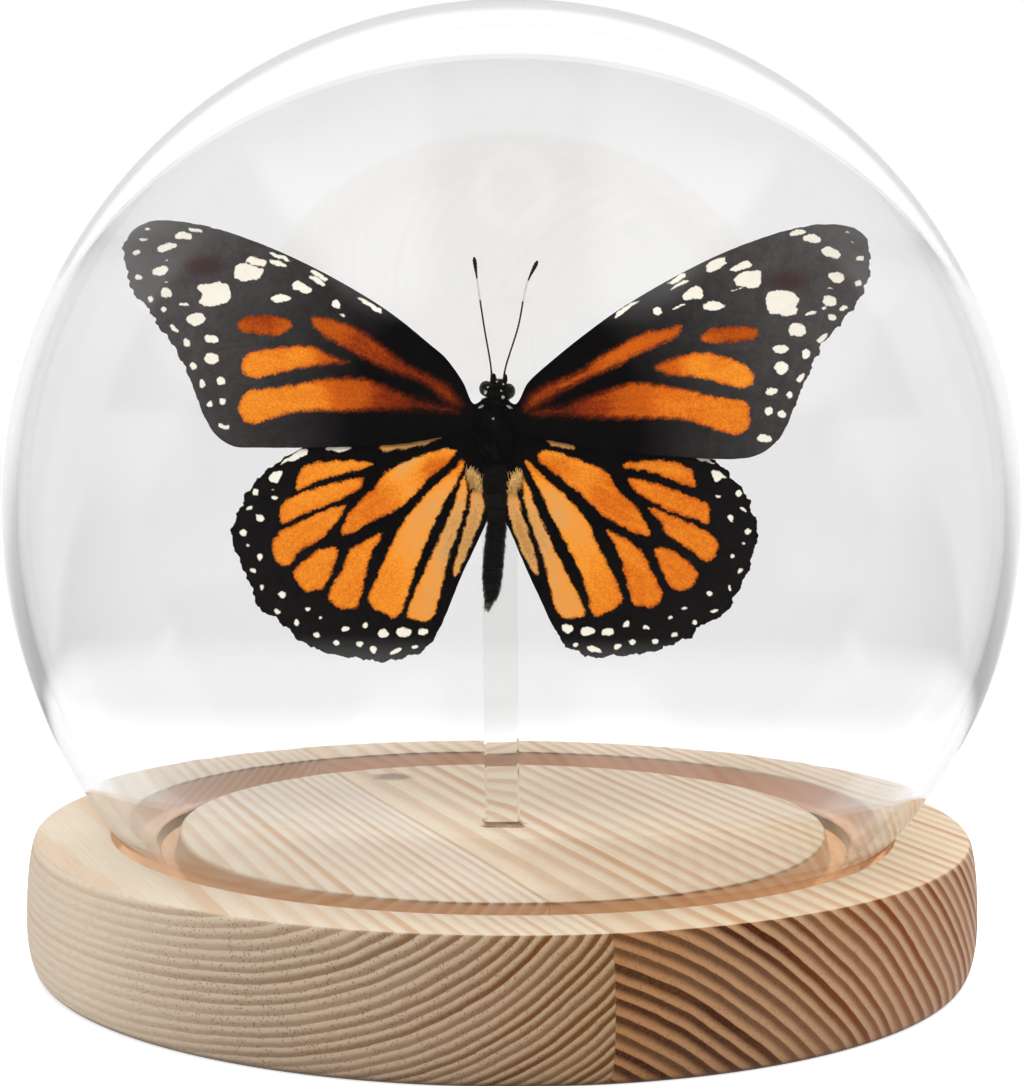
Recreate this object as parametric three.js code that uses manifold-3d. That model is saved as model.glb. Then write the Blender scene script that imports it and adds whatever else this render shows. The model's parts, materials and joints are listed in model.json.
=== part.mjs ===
// A monarch butterfly on a clear rod, shown in a glass globe that stands in the groove of a round pine base.
// Millimetres, +Z up. The origin is the centre of the base's underside, and the butterfly's back faces -Y.
import * as THREE from 'three';
import { mergeVertices } from 'three/addons/utils/BufferGeometryUtils.js';
import Module from 'manifold-3d';

const wasm = await Module();
wasm.setup();

// --- Driving dimensions -------------------------------------------------------------------------------------

// The pine base: a turned disc with a softly barrelled edge and a round groove for the globe's rim.
const BASE_HEIGHT = 16.6;
const BASE_WIDEST_RADIUS = 60;
const BASE_WIDEST_HEIGHT = 6.2;
const BASE_TOP_RADIUS = 58.6;
const BASE_BOTTOM_RADIUS = 58.1;
const BASE_SIDES = 64;
const BASE_EDGE_STEPS = 4;
const GROOVE_INNER_RADIUS = 41.3;
const GROOVE_OUTER_RADIUS = 50.1;
const GROOVE_DEPTH = 3.5;

// The base is glued up from two boards. The glue line is a vertical plane that misses the centre.
const GLUE_LINE_TURN = THREE.MathUtils.degToRad(21.5);
const GLUE_LINE_OFFSET = -10.1;
const GLUE_LINE_WIDTH = 0.05;
const CUTTING_BLOCK = 200;

// The blown globe, a little off the base's centre, with its cut rim flat on the groove's floor.
const GLOBE_OUTER_RADIUS = 63.3;
const GLASS_THICKNESS = 2.2;
const GLOBE_CENTRE_HEIGHT = 40.3;
const GLOBE_SHIFT = 0.8;
const GLOBE_SIDES = 44;
const GLOBE_ARC_STEPS = 16;

// The square acrylic rod, let into a blind hole in the base. It leans a little to the left, on one edge of its foot.
const ROD_WIDTH = 4.4;
const ROD_CORNER = 0.3;
const ROD_FOOT_X = 0.1;
const ROD_LEAN = THREE.MathUtils.degToRad(-1);
const ROD_LENGTH = 59.4;
const ROD_HOLE_X = 0.03;
const ROD_HOLE_DEPTH = 8;
const ROD_HOLE_WIDTH = 4.9;

// The butterfly's own origin is the middle of its thorax. Its coordinates below are from there.
const BUTTERFLY_X = -1.3;
const BUTTERFLY_Z = BASE_HEIGHT + 50.3;
const BODY_Y = -4.9;
const TOUCH_GAP = 0.15;
const ELLIPSOID_SIDES = 14;
const ELLIPSOID_RINGS = 10;
const THORAX_CENTRE = [-0.1, BODY_Y, -0.2];
const THORAX_RADII = [2.5, 2.8, 3.8];
const HEAD_CENTRE = [0.25, -4.9, 5.2];
const HEAD_RADII = [1.7, 1.5, 1.4];
const EYE_RADII = [0.85, 1.1, 0.95];
const EYE_CENTRES = [[-1.15, -4.9, 5.4], [1.65, -4.9, 5.1]];

// The abdomen as stations from thorax to tip: height, half width, and how far its middle lies off X = 0.
const ABDOMEN_STATIONS = [
  { z: -2.8, radius: 1.3, middle: 0 },
  { z: -7, radius: 1.6, middle: 0 },
  { z: -10.9, radius: 1.2, middle: 0.3 },
  { z: -15.7, radius: 1.27, middle: -0.1 },
  { z: -18.6, radius: 1.2, middle: -0.25 },
  { z: -20.5, radius: 0.72, middle: -0.4 },
  { z: -21.5, radius: 0.4, middle: -0.7 },
];
const ABDOMEN_SIDES = 16;
const ABDOMEN_STEPS = 15;

// The wings lie in two layers, the forewings in front of the hindwings.
const WING_THICKNESS = 0.5;
const FOREWING_FRONT_Y = -6.2;
const HINDWING_FRONT_Y = -5.4;
const WING_STEPS = 76;

// Wing outlines as [x, z], from the root along the leading edge to the tip and back along the trailing edge.
const FOREWING_LEFT_OUTLINE = [
  [-1.1, 4.3], [-2.6, 3.6], [-4, 6.3], [-6.2, 9.3], [-8.1, 10.9], [-11.8, 13.9], [-15.5, 16.4], [-22.6, 20.3],
  [-30.3, 23.6], [-37, 25.5], [-40.7, 25.9], [-43.2, 25.6], [-44.9, 24.6], [-45.8, 23.1], [-45.8, 21.5],
  [-45.4, 19.5], [-44.6, 17.5], [-43, 15.4], [-41.9, 13.8], [-39.9, 11.1], [-38.8, 8.8], [-36.6, 3.4],
  [-35.5, 1], [-34.2, -0.8], [-32.2, -1.9], [-29.1, -2], [-17.7, -1.8], [-11.7, -1.4], [-6.8, -0.4],
  [-3.1, 1], [-1.1, 1.9],
];
const FOREWING_RIGHT_OUTLINE = [
  [1, 4.4], [2.5, 3.6], [4, 6.2], [5.5, 7.7], [7, 9], [10.4, 11.8], [15.3, 15.4], [23.3, 20.1], [30.6, 23.5],
  [37.3, 25.6], [40.4, 26], [43.5, 25.7], [45.1, 24.9], [46, 23.4], [46.2, 21.9], [45.9, 19.2], [45.1, 17],
  [44.3, 15.5], [42.6, 13.6], [39.6, 9.6], [37.7, 5.1], [35.8, 0.5], [34.1, -1.5], [32.2, -2.6], [29.8, -3],
  [26.8, -3], [21.7, -2.7], [14.3, -2.1], [6.9, -0.8], [3.1, 0.4], [1, 1.4],
];
const HINDWING_LEFT_OUTLINE = [
  [-1.1, -0.9], [-2.6, 0.3], [-5, 1.1], [-9.3, 1.3], [-14.3, 0.9], [-18.6, 0.1], [-23.6, -1.9], [-26.1, -3.4],
  [-28.5, -5.3], [-30.4, -7.2], [-31.5, -9.2], [-32.3, -11.2], [-32.5, -12.5], [-31.7, -16.1], [-30.3, -19.5],
  [-28.8, -22.5], [-27.2, -23.3], [-25.8, -24.3], [-24.2, -26], [-21.7, -27.2], [-17.7, -28.1], [-14.2, -28.6],
  [-9, -27.4], [-6.8, -24.4], [-3.9, -17.5], [-2, -13.4], [-0.9, -10.6], [-1.1, -9], [-1.6, -7.1], [-1.5, -4.6],
];
const HINDWING_RIGHT_OUTLINE = [
  [1, -0.9], [2.6, 0.6], [5.6, 1.3], [10.5, 1], [16.1, 0.3], [21.1, -0.6], [26.9, -3.1], [29, -4.7],
  [30.6, -6.5], [31.8, -8.3], [32.6, -10.3], [32.9, -12], [32.1, -15.6], [31.9, -17.1], [30.2, -20.3],
  [29.6, -21.8], [28.4, -22.7], [25.4, -24.6], [24.6, -25.7], [22.4, -26.4], [20.4, -27.3], [18.3, -27.5],
  [13.9, -28.1], [11.7, -27.9], [9.6, -27.1], [8.3, -25.9], [5.8, -20.8], [3.8, -16.5], [1.9, -12.1],
  [1.4, -10.6], [1.6, -9], [1.8, -7.1], [1.6, -4.6],
];

// Antennae and legs as smooth paths of round stem, through these points.
const STEM_SIDES = 8;
const ANTENNA_RADIUS = 0.22;
const ANTENNA_STEPS = 12;
const CLUB_RADIUS = 0.3;
const CLUB_HALF_LENGTH = 1.2;
const ANTENNA_LEFT_PATH = [
  [-0.5, -5.2, 5.9], [-0.5, -5.4, 7.7], [-1.4, -5.4, 13], [-2.1, -5.4, 17.4], [-2.7, -5.4, 21.6],
];
const ANTENNA_RIGHT_PATH = [
  [1, -5.2, 5.9], [1.2, -5.4, 7.8], [2.8, -5.4, 13.2], [3.8, -5.4, 18.3], [5.1, -5.4, 21.2],
];
const LEG_RADIUS = 0.22;
const LEG_STEPS = 14;
const LEG_PATHS = {
  leg_mid_left: [[-1.6, -3.9, 0.6], [-3.5, -3.1, 2], [-4.1, -2.5, 0.4], [-3.4, -2, -3], [-2.4, -1.8, -5.5]],
  leg_hind_left: [[-1.4, -3.6, -1.5], [-3.1, -2.9, -2.8], [-3.6, -1.7, -5.2], [-2.6, -1.2, -8.2], [-2.2, -1, -9.6]],
  leg_mid_right: [[1.6, -3.9, 0.6], [3.7, -3.1, 2], [4.3, -2.5, 0.4], [3.8, -2, -3.2], [3.3, -1.7, -5.8]],
  leg_hind_right: [[1.4, -3.6, -1.5], [3.4, -3, -2.8], [4.1, -1.7, -5], [3.5, -1.1, -8], [3.2, -0.9, -9.5]],
};

// --- Materials ----------------------------------------------------------------------------------------------

function pineMaterial() {
  return new THREE.MeshStandardMaterial({ color: 0xdcc9b0, roughness: 0.7, metalness: 0 });
}

function clearMaterial(opacity) {
  return new THREE.MeshStandardMaterial({ color: 0xf2f5f6, roughness: 0.05, metalness: 0, transparent: true, opacity });
}

function wingMaterial() {
  return new THREE.MeshStandardMaterial({ color: 0xd9801f, roughness: 0.8, metalness: 0 });
}

function bodyMaterial() {
  return new THREE.MeshStandardMaterial({ color: 0x14110f, roughness: 0.85, metalness: 0 });
}

// --- Shape helpers ------------------------------------------------------------------------------------------

// A solid for cutting and joining, from a closed geometry. Triangles that shrink to a line at an axis are left out.
function solidOf(geometry) {
  const bare = geometry.clone();
  bare.deleteAttribute('normal');
  bare.deleteAttribute('uv');
  const merged = mergeVertices(bare, 1e-4);
  const corners = merged.index.array;
  const kept = [];
  for (let i = 0; i < corners.length; i += 3) {
    const [a, b, c] = [corners[i], corners[i + 1], corners[i + 2]];
    if (a !== b && b !== c && c !== a) kept.push(a, b, c);
  }
  const vertProperties = new Float32Array(merged.attributes.position.array);
  return new wasm.Manifold(new wasm.Mesh({ numProp: 3, vertProperties, triVerts: new Uint32Array(kept) }));
}

function geometryOf(solid) {
  const { vertProperties, triVerts } = solid.getMesh();
  const geometry = new THREE.BufferGeometry();
  geometry.setAttribute('position', new THREE.BufferAttribute(vertProperties, 3));
  geometry.setIndex(new THREE.BufferAttribute(triVerts, 1));
  geometry.computeVertexNormals();
  return geometry;
}

function namedMesh(name, geometry, material) {
  const mesh = new THREE.Mesh(geometry, material);
  mesh.name = name;
  return mesh;
}

// A turned body from a profile of [radius, height] points, standing along +Z.
function turned(profile, sides) {
  const points = profile.map(([radius, height]) => new THREE.Vector2(radius, height));
  return new THREE.LatheGeometry(points, sides).rotateX(Math.PI / 2);
}

function ellipsoid(centre, radii, clearance = 0) {
  const [rx, ry, rz] = radii.map((radius) => radius + clearance);
  return new THREE.SphereGeometry(1, ELLIPSOID_SIDES, ELLIPSOID_RINGS).scale(rx, ry, rz).translate(...centre);
}

function smoothPath(points) {
  return new THREE.CatmullRomCurve3(points.map(([x, y, z]) => new THREE.Vector3(x, y, z)), false, 'centripetal');
}

// A round stem along a smooth path.
function stem(points, radius, steps) {
  const section = new THREE.Shape();
  for (let i = 0; i < STEM_SIDES; i += 1) {
    const turn = (2 * Math.PI * i) / STEM_SIDES;
    section[i === 0 ? 'moveTo' : 'lineTo'](radius * Math.cos(turn), radius * Math.sin(turn));
  }
  return new THREE.ExtrudeGeometry(section, { steps, extrudePath: smoothPath(points), bevelEnabled: false });
}

// --- Base ---------------------------------------------------------------------------------------------------

// Half an ellipse from the bottom corner out to the widest ring, then in to the top corner.
function baseEdge() {
  const edge = [];
  for (let i = 0; i <= BASE_EDGE_STEPS; i += 1) {
    const turn = ((Math.PI / 2) * i) / BASE_EDGE_STEPS;
    const bulge = BASE_WIDEST_RADIUS - BASE_BOTTOM_RADIUS;
    edge.push([BASE_BOTTOM_RADIUS + bulge * Math.sin(turn), BASE_WIDEST_HEIGHT * (1 - Math.cos(turn))]);
  }
  for (let i = 1; i <= BASE_EDGE_STEPS; i += 1) {
    const turn = ((Math.PI / 2) * i) / BASE_EDGE_STEPS;
    const rise = BASE_HEIGHT - BASE_WIDEST_HEIGHT;
    const bulge = BASE_WIDEST_RADIUS - BASE_TOP_RADIUS;
    edge.push([BASE_TOP_RADIUS + bulge * Math.cos(turn), BASE_WIDEST_HEIGHT + rise * Math.sin(turn)]);
  }
  return edge;
}

function baseDisc() {
  const floor = BASE_HEIGHT - GROOVE_DEPTH;
  const groove = [
    [GROOVE_OUTER_RADIUS, BASE_HEIGHT],
    [GROOVE_OUTER_RADIUS, floor],
    [GROOVE_INNER_RADIUS, floor],
    [GROOVE_INNER_RADIUS, BASE_HEIGHT],
  ];
  return turned([[0, 0], ...baseEdge(), ...groove, [0, BASE_HEIGHT]], BASE_SIDES);
}

// The block that holds one board: side is -1 for the left board and 1 for the right one.
function boardBlock(side) {
  const start = GLUE_LINE_OFFSET + (side * GLUE_LINE_WIDTH) / 2;
  return new THREE.BoxGeometry(CUTTING_BLOCK, CUTTING_BLOCK, CUTTING_BLOCK)
    .translate(start + (side * CUTTING_BLOCK) / 2, 0, 0)
    .rotateZ(GLUE_LINE_TURN);
}

function rodHole() {
  const height = ROD_HOLE_DEPTH * 2;
  return new THREE.BoxGeometry(ROD_HOLE_WIDTH, ROD_HOLE_WIDTH, height).translate(ROD_HOLE_X, 0, BASE_HEIGHT);
}

function makeBase() {
  const disc = solidOf(baseDisc());
  const left = disc.intersect(solidOf(boardBlock(-1)));
  const right = disc.intersect(solidOf(boardBlock(1))).subtract(solidOf(rodHole()));
  const group = new THREE.Group();
  group.add(namedMesh('base_board_left', geometryOf(left), pineMaterial()));
  group.add(namedMesh('base_board_right', geometryOf(right), pineMaterial()));
  return group;
}

// --- Globe and rod ------------------------------------------------------------------------------------------

// Points on a circle about the globe's centre, from the rim's height up to the top.
function globeArc(radius, centre, rimHeight) {
  const lowest = Math.asin((rimHeight - centre) / radius);
  const arc = [];
  for (let i = 0; i <= GLOBE_ARC_STEPS; i += 1) {
    const rise = lowest + ((Math.PI / 2 - lowest) * i) / GLOBE_ARC_STEPS;
    arc.push([i === GLOBE_ARC_STEPS ? 0 : radius * Math.cos(rise), centre + radius * Math.sin(rise)]);
  }
  return arc;
}

function makeGlobe() {
  const centre = BASE_HEIGHT + GLOBE_CENTRE_HEIGHT;
  const rim = BASE_HEIGHT - GROOVE_DEPTH;
  const outside = globeArc(GLOBE_OUTER_RADIUS, centre, rim);
  const inside = globeArc(GLOBE_OUTER_RADIUS - GLASS_THICKNESS, centre, rim).reverse();
  const globe = namedMesh('glass_globe', turned([...inside, ...outside], GLOBE_SIDES), clearMaterial(0.2));
  globe.position.x = GLOBE_SHIFT;
  return globe;
}

function rodSection() {
  const half = ROD_WIDTH / 2;
  const flat = half - ROD_CORNER;
  const section = new THREE.Shape();
  section.moveTo(flat, -half);
  section.lineTo(half, -flat);
  section.lineTo(half, flat);
  section.lineTo(flat, half);
  section.lineTo(-flat, half);
  section.lineTo(-half, flat);
  section.lineTo(-half, -flat);
  section.lineTo(-flat, -half);
  return section;
}

function makeRod() {
  const lift = (ROD_WIDTH / 2) * Math.sin(Math.abs(ROD_LEAN));
  const shape = new THREE.ExtrudeGeometry(rodSection(), { depth: ROD_LENGTH, bevelEnabled: false });
  const rod = namedMesh('acrylic_rod', shape, clearMaterial(0.4));
  rod.position.set(ROD_FOOT_X, 0, BASE_HEIGHT - ROD_HOLE_DEPTH + lift);
  rod.rotation.y = ROD_LEAN;
  return rod;
}

// --- Butterfly ----------------------------------------------------------------------------------------------

// The abdomen's width and middle at a height, read from its stations along a smooth curve.
function abdomenShape(clearance = 0) {
  const curve = smoothPath(ABDOMEN_STATIONS.map(({ z, radius, middle }) => [radius, middle, z]));
  const stations = curve.getPoints(ABDOMEN_STEPS);
  const profile = stations.map((point) => [point.x + clearance, point.z]).reverse();
  const lowest = profile[0][1] - clearance;
  const highest = profile[profile.length - 1][1] + clearance;
  const shape = turned([[0, lowest], ...profile, [0, highest]], ABDOMEN_SIDES);
  const places = shape.attributes.position;
  for (let i = 0; i < places.count; i += 1) {
    const z = places.getZ(i);
    const after = stations.findIndex((point) => point.z <= z);
    const end = stations[after < 0 ? stations.length - 1 : after];
    const start = stations[Math.max(after - 1, 0)];
    const share = start.z === end.z ? 0 : (start.z - z) / (start.z - end.z);
    places.setX(i, places.getX(i) + THREE.MathUtils.lerp(start.y, end.y, THREE.MathUtils.clamp(share, 0, 1)));
    places.setY(i, places.getY(i) + BODY_Y + 0.2);
  }
  return shape;
}

// The thorax, flat where it is glued to the rod's front face.
function thoraxSolid() {
  const block = new THREE.BoxGeometry(CUTTING_BLOCK, CUTTING_BLOCK, CUTTING_BLOCK);
  const front = block.translate(0, -(ROD_WIDTH + CUTTING_BLOCK) / 2, 0);
  return solidOf(ellipsoid(THORAX_CENTRE, THORAX_RADII)).intersect(solidOf(front));
}

function headSolid(clearance = 0) {
  const eyes = EYE_CENTRES.map((centre) => solidOf(ellipsoid(centre, EYE_RADII, clearance)));
  const head = solidOf(ellipsoid(HEAD_CENTRE, HEAD_RADII, clearance));
  return head.add(eyes[0]).add(eyes[1]).subtract(thoraxSpace());
}

// The room that the thorax takes, with the gap that its neighbours keep.
function thoraxSpace() {
  return solidOf(ellipsoid(THORAX_CENTRE, THORAX_RADII, TOUCH_GAP));
}

function wingSlab(outline, frontY) {
  const edge = new THREE.CatmullRomCurve3(outline.map(([x, z]) => new THREE.Vector3(x, z, 0)), true, 'centripetal');
  const shape = new THREE.Shape(edge.getPoints(WING_STEPS).slice(0, -1).map(({ x, y }) => new THREE.Vector2(x, y)));
  return new THREE.ExtrudeGeometry(shape, { depth: WING_THICKNESS, bevelEnabled: false })
    .rotateX(Math.PI / 2)
    .translate(0, frontY + WING_THICKNESS, 0);
}

function makeForewing(name, outline) {
  const wing = solidOf(wingSlab(outline, FOREWING_FRONT_Y)).subtract(thoraxSpace());
  return namedMesh(name, geometryOf(wing), wingMaterial());
}

function makeHindwing(name, outline) {
  const wing = solidOf(wingSlab(outline, HINDWING_FRONT_Y))
    .subtract(thoraxSpace())
    .subtract(solidOf(abdomenShape(TOUCH_GAP)));
  return namedMesh(name, geometryOf(wing), wingMaterial());
}

function makeAntenna(name, path) {
  const curve = smoothPath(path);
  const tip = curve.getPoint(1);
  const way = curve.getTangent(1);
  const club = new THREE.SphereGeometry(1, STEM_SIDES, 6)
    .scale(CLUB_RADIUS, CLUB_HALF_LENGTH, CLUB_RADIUS)
    .applyQuaternion(new THREE.Quaternion().setFromUnitVectors(new THREE.Vector3(0, 1, 0), way))
    .translate(tip.x - way.x, tip.y - way.y, tip.z - way.z);
  const whole = solidOf(stem(path, ANTENNA_RADIUS, ANTENNA_STEPS)).add(solidOf(club)).subtract(headSolid(TOUCH_GAP));
  return namedMesh(name, geometryOf(whole), bodyMaterial());
}

function makeLeg(name) {
  const leg = solidOf(stem(LEG_PATHS[name], LEG_RADIUS, LEG_STEPS)).subtract(thoraxSpace());
  return namedMesh(name, geometryOf(leg), bodyMaterial());
}

function makeButterfly() {
  const butterfly = new THREE.Group();
  const abdomen = solidOf(abdomenShape()).subtract(thoraxSpace());
  butterfly.add(namedMesh('head', geometryOf(headSolid()), bodyMaterial()));
  butterfly.add(namedMesh('thorax', geometryOf(thoraxSolid()), bodyMaterial()));
  butterfly.add(namedMesh('abdomen', geometryOf(abdomen), bodyMaterial()));
  butterfly.add(makeForewing('forewing_left', FOREWING_LEFT_OUTLINE));
  butterfly.add(makeForewing('forewing_right', FOREWING_RIGHT_OUTLINE));
  butterfly.add(makeHindwing('hindwing_left', HINDWING_LEFT_OUTLINE));
  butterfly.add(makeHindwing('hindwing_right', HINDWING_RIGHT_OUTLINE));
  butterfly.add(makeAntenna('antenna_left', ANTENNA_LEFT_PATH));
  butterfly.add(makeAntenna('antenna_right', ANTENNA_RIGHT_PATH));
  for (const name of Object.keys(LEG_PATHS)) {
    butterfly.add(makeLeg(name));
  }
  butterfly.position.set(BUTTERFLY_X, 0, BUTTERFLY_Z);
  return butterfly;
}

const model = new THREE.Group();
model.add(makeBase(), makeGlobe(), makeRod(), makeButterfly());

export default model;
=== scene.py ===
"""A monarch butterfly on a clear rod, in a glass globe that stands on a turned pine base.

Lengths in this file are millimetres unless a name says otherwise. Meshes are scaled to metres when they are
made. The butterfly's own coordinates start at the middle of its thorax, and its back faces -Y.
"""

import functools
import json
import logging
import math
from dataclasses import dataclass, field
from enum import Enum
from typing import Callable, Sequence

import bmesh
import bpy
import numpy as np
from mathutils import Matrix, Vector
from mathutils.geometry import delaunay_2d_cdt

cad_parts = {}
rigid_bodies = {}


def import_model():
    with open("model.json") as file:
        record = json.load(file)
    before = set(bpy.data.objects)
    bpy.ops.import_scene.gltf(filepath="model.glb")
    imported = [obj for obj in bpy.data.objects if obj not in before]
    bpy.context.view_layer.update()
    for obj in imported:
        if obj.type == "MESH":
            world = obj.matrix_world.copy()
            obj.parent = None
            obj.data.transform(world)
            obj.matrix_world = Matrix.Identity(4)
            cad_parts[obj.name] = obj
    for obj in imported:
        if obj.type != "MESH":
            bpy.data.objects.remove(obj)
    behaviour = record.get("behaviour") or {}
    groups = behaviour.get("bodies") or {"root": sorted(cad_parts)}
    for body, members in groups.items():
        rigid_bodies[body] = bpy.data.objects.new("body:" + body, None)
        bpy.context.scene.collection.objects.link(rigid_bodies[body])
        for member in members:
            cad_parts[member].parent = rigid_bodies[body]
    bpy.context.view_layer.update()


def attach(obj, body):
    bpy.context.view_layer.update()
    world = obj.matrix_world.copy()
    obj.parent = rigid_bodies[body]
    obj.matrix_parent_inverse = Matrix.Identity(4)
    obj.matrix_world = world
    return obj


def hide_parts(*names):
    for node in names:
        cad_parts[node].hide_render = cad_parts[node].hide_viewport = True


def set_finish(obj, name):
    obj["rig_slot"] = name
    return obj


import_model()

LOG = logging.getLogger("dome")
MM = 0.001
BODY = "root"

# The butterfly's own origin, and the height of the base's top.
BASE_TOP = 16.6
BUTTERFLY_PLACE = (-1.3, 0.0, BASE_TOP + 50.3)

# The groove's inner radius, outer radius and depth, and the knot's place and how far it reaches.
GROOVE = (41.2, 49.5, 3.5)
KNOT_PLACE = (-15.7, 30.7)
KNOT_REACH = 3.6

# The grain of the base's boards runs from front to back, turned a little about the upright axis.
GRAIN_TURN = math.radians(21.5)
GRAIN = (-math.sin(GRAIN_TURN), math.cos(GRAIN_TURN), 0.0)
ACROSS = (math.cos(GRAIN_TURN), math.sin(GRAIN_TURN), 0.0)
AXES = ((1, 0, 0), (0, 1, 0), (0, 0, 1))

Point = tuple[float, float]
Place = tuple[float, float, float]
Dot = tuple[float, float, float, float]
Array = np.ndarray
Shape = tuple[Array, list[list[int]]]
Dice = np.random.Generator
Tree = bpy.types.NodeTree
Node = bpy.types.Node
Material = bpy.types.Material


class Slot(Enum):
    """The material slots of the part."""

    PINE = "pine"
    GLOBE = "globe_glass"
    ACRYLIC = "acrylic"
    WING = "wing"
    BODY = "insect_body"


# --- Colours and nodes ---


def linear(code: str) -> tuple[float, ...]:
    """The linear colour of a display colour written as #rrggbb."""
    parts = [int(code[i : i + 2], 16) / 255 for i in (1, 3, 5)]
    red, green, blue = (p / 12.92 if p <= 0.04045 else ((p + 0.055) / 1.055) ** 2.4 for p in parts)
    return (red, green, blue, 1.0)


@dataclass(frozen=True)
class Wire:
    """A value in a node tree. Arithmetic on it adds Math nodes to the tree."""

    tree: Tree
    socket: bpy.types.NodeSocket

    def math(self, operation: str, *others: "Feed") -> "Wire":
        """The result of a Math node on this value and the others."""
        return maths(self.tree, operation, self, *others)

    def __add__(self, other: "Feed") -> "Wire":
        """Sum."""
        return self.math("ADD", other)

    def __sub__(self, other: "Feed") -> "Wire":
        """Difference."""
        return self.math("SUBTRACT", other)

    def __rsub__(self, other: float) -> "Wire":
        """Difference from a number."""
        return maths(self.tree, "SUBTRACT", other, self)

    def __mul__(self, other: "Feed") -> "Wire":
        """Product."""
        return self.math("MULTIPLY", other)

    def __truediv__(self, other: "Feed") -> "Wire":
        """Quotient."""
        return self.math("DIVIDE", other)

    __radd__ = __add__
    __rmul__ = __mul__

    def smooth(self, low: "Feed", high: "Feed", start: float = 0, end: float = 1) -> "Wire":
        """A soft step from start, at or below low, to end, at or above high."""
        node = self.tree.nodes.new("ShaderNodeMapRange")
        node.interpolation_type = "SMOOTHSTEP"
        names = ("Value", "From Min", "From Max", "To Min", "To Max")
        for name, value in zip(names, (self, low, high, start, end)):
            plug(self.tree, node.inputs[name], value)
        return Wire(self.tree, node.outputs["Result"])


Feed = Wire | float | str | Sequence[float]
Wires = dict[str, Wire]


def plug(tree: Tree, socket: bpy.types.NodeSocket, value: Feed) -> None:
    """Links a wire to a socket, or sets the socket's own value. A string is a display colour."""
    if isinstance(value, Wire):
        tree.links.new(value.socket, socket)
    elif isinstance(value, str):
        socket.default_value = linear(value)
    else:
        socket.default_value = value


def maths(tree: Tree, operation: str, *values: "Feed") -> Wire:
    """The result of a Math node on wires and numbers."""
    node = tree.nodes.new("ShaderNodeMath")
    node.operation = operation
    for socket, value in zip(node.inputs, values):
        plug(tree, socket, value)
    return Wire(tree, node.outputs[0])


def mixed(tree: Tree, share: Feed, low: Feed, high: Feed) -> Wire:
    """A colour between two colours.

    Args:
        tree: the node tree.
        share: 0 gives low and 1 gives high.
        low: a colour or a wire.
        high: a colour or a wire.

    Returns:
        The mixed colour.
    """
    node = tree.nodes.new("ShaderNodeMix")
    node.data_type = "RGBA"
    plug(tree, node.inputs[0], share)
    plug(tree, node.inputs[6], low)
    plug(tree, node.inputs[7], high)
    return Wire(tree, node.outputs[2])


def mask(tree: Tree, name: str) -> Wire:
    """A value that the mesh carries at each of its points."""
    node = tree.nodes.new("ShaderNodeAttribute")
    node.attribute_name = name
    return Wire(tree, node.outputs["Fac"])


def vector(tree: Tree, operation: str, **inputs: Feed) -> Node:
    """A Vector Math node. Its inputs are first, second and Scale."""
    node = tree.nodes.new("ShaderNodeVectorMath")
    node.operation = operation
    for name, value in inputs.items():
        plug(tree, node.inputs[{"first": 0, "second": 1}.get(name, name)], value)
    return node


def place(tree: Tree) -> Wire:
    """The point's place in millimetres."""
    node = tree.nodes.new("ShaderNodeTexCoord")
    scaled = vector(tree, "SCALE", first=Wire(tree, node.outputs["Object"]), Scale=1 / MM)
    return Wire(tree, scaled.outputs[0])


def along(tree: Tree, point: Wire, direction: Sequence[float]) -> Wire:
    """How far a point lies along a direction."""
    node = vector(tree, "DOT_PRODUCT", first=point, second=direction)
    return Wire(tree, node.outputs["Value"])


def distance(*parts: Wire) -> Wire:
    """The length of a vector from its parts along crossing directions."""
    squares = [part.math("POWER", 2) for part in parts]
    return functools.reduce(lambda total, square: total + square, squares).math("SQRT")


def bounced_ray(tree: Tree, kind: str) -> Wire:
    """1 for a ray that has bounced at least once in the way that kind names: Glossy or Diffuse."""
    path = tree.nodes.new("ShaderNodeLightPath")
    return Wire(tree, path.outputs[f"{kind} Depth"]).math("GREATER_THAN", 0.5)


def shaders_mixed(tree: Tree, share: Wire, first: Node, second: Node) -> None:
    """Sends a mix of two shaders to the material's output: share 0 gives the first and 1 the second."""
    mix = tree.nodes.new("ShaderNodeMixShader")
    plug(tree, mix.inputs[0], share)
    tree.links.new(first.outputs[0], mix.inputs[1])
    tree.links.new(second.outputs[0], mix.inputs[2])
    tree.links.new(mix.outputs[0], tree.nodes["Material Output"].inputs["Surface"])


def joined(tree: Tree, x: Feed, y: Feed, z: Feed) -> Wire:
    """A vector from its three parts."""
    node = tree.nodes.new("ShaderNodeCombineXYZ")
    for socket, value in zip(node.inputs, (x, y, z)):
        plug(tree, socket, value)
    return Wire(tree, node.outputs[0])


def noise(tree: Tree, point: Wire, per_mm: float, detail: float = 2, rough: float = 0.5) -> Wire:
    """Soft noise from 0 to 1.

    Args:
        tree: the node tree.
        point: the place in millimetres, or any stretched copy of it.
        per_mm: waves to the millimetre.
        detail: how many finer layers are added.
        rough: how strong the finer layers are.

    Returns:
        The noise value.
    """
    node = tree.nodes.new("ShaderNodeTexNoise")
    plug(tree, node.inputs["Vector"], point)
    node.inputs["Scale"].default_value = per_mm
    node.inputs["Detail"].default_value = detail
    node.inputs["Roughness"].default_value = rough
    return Wire(tree, node.outputs["Fac"])


def cells(tree: Tree, point: Wire, per_mm: float, output: str = "Distance") -> Wire:
    """Voronoi cells: the distance to the nearest cell's middle, or another of the node's outputs."""
    node = tree.nodes.new("ShaderNodeTexVoronoi")
    plug(tree, node.inputs["Vector"], point)
    node.inputs["Scale"].default_value = per_mm
    return Wire(tree, node.outputs[output])


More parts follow.
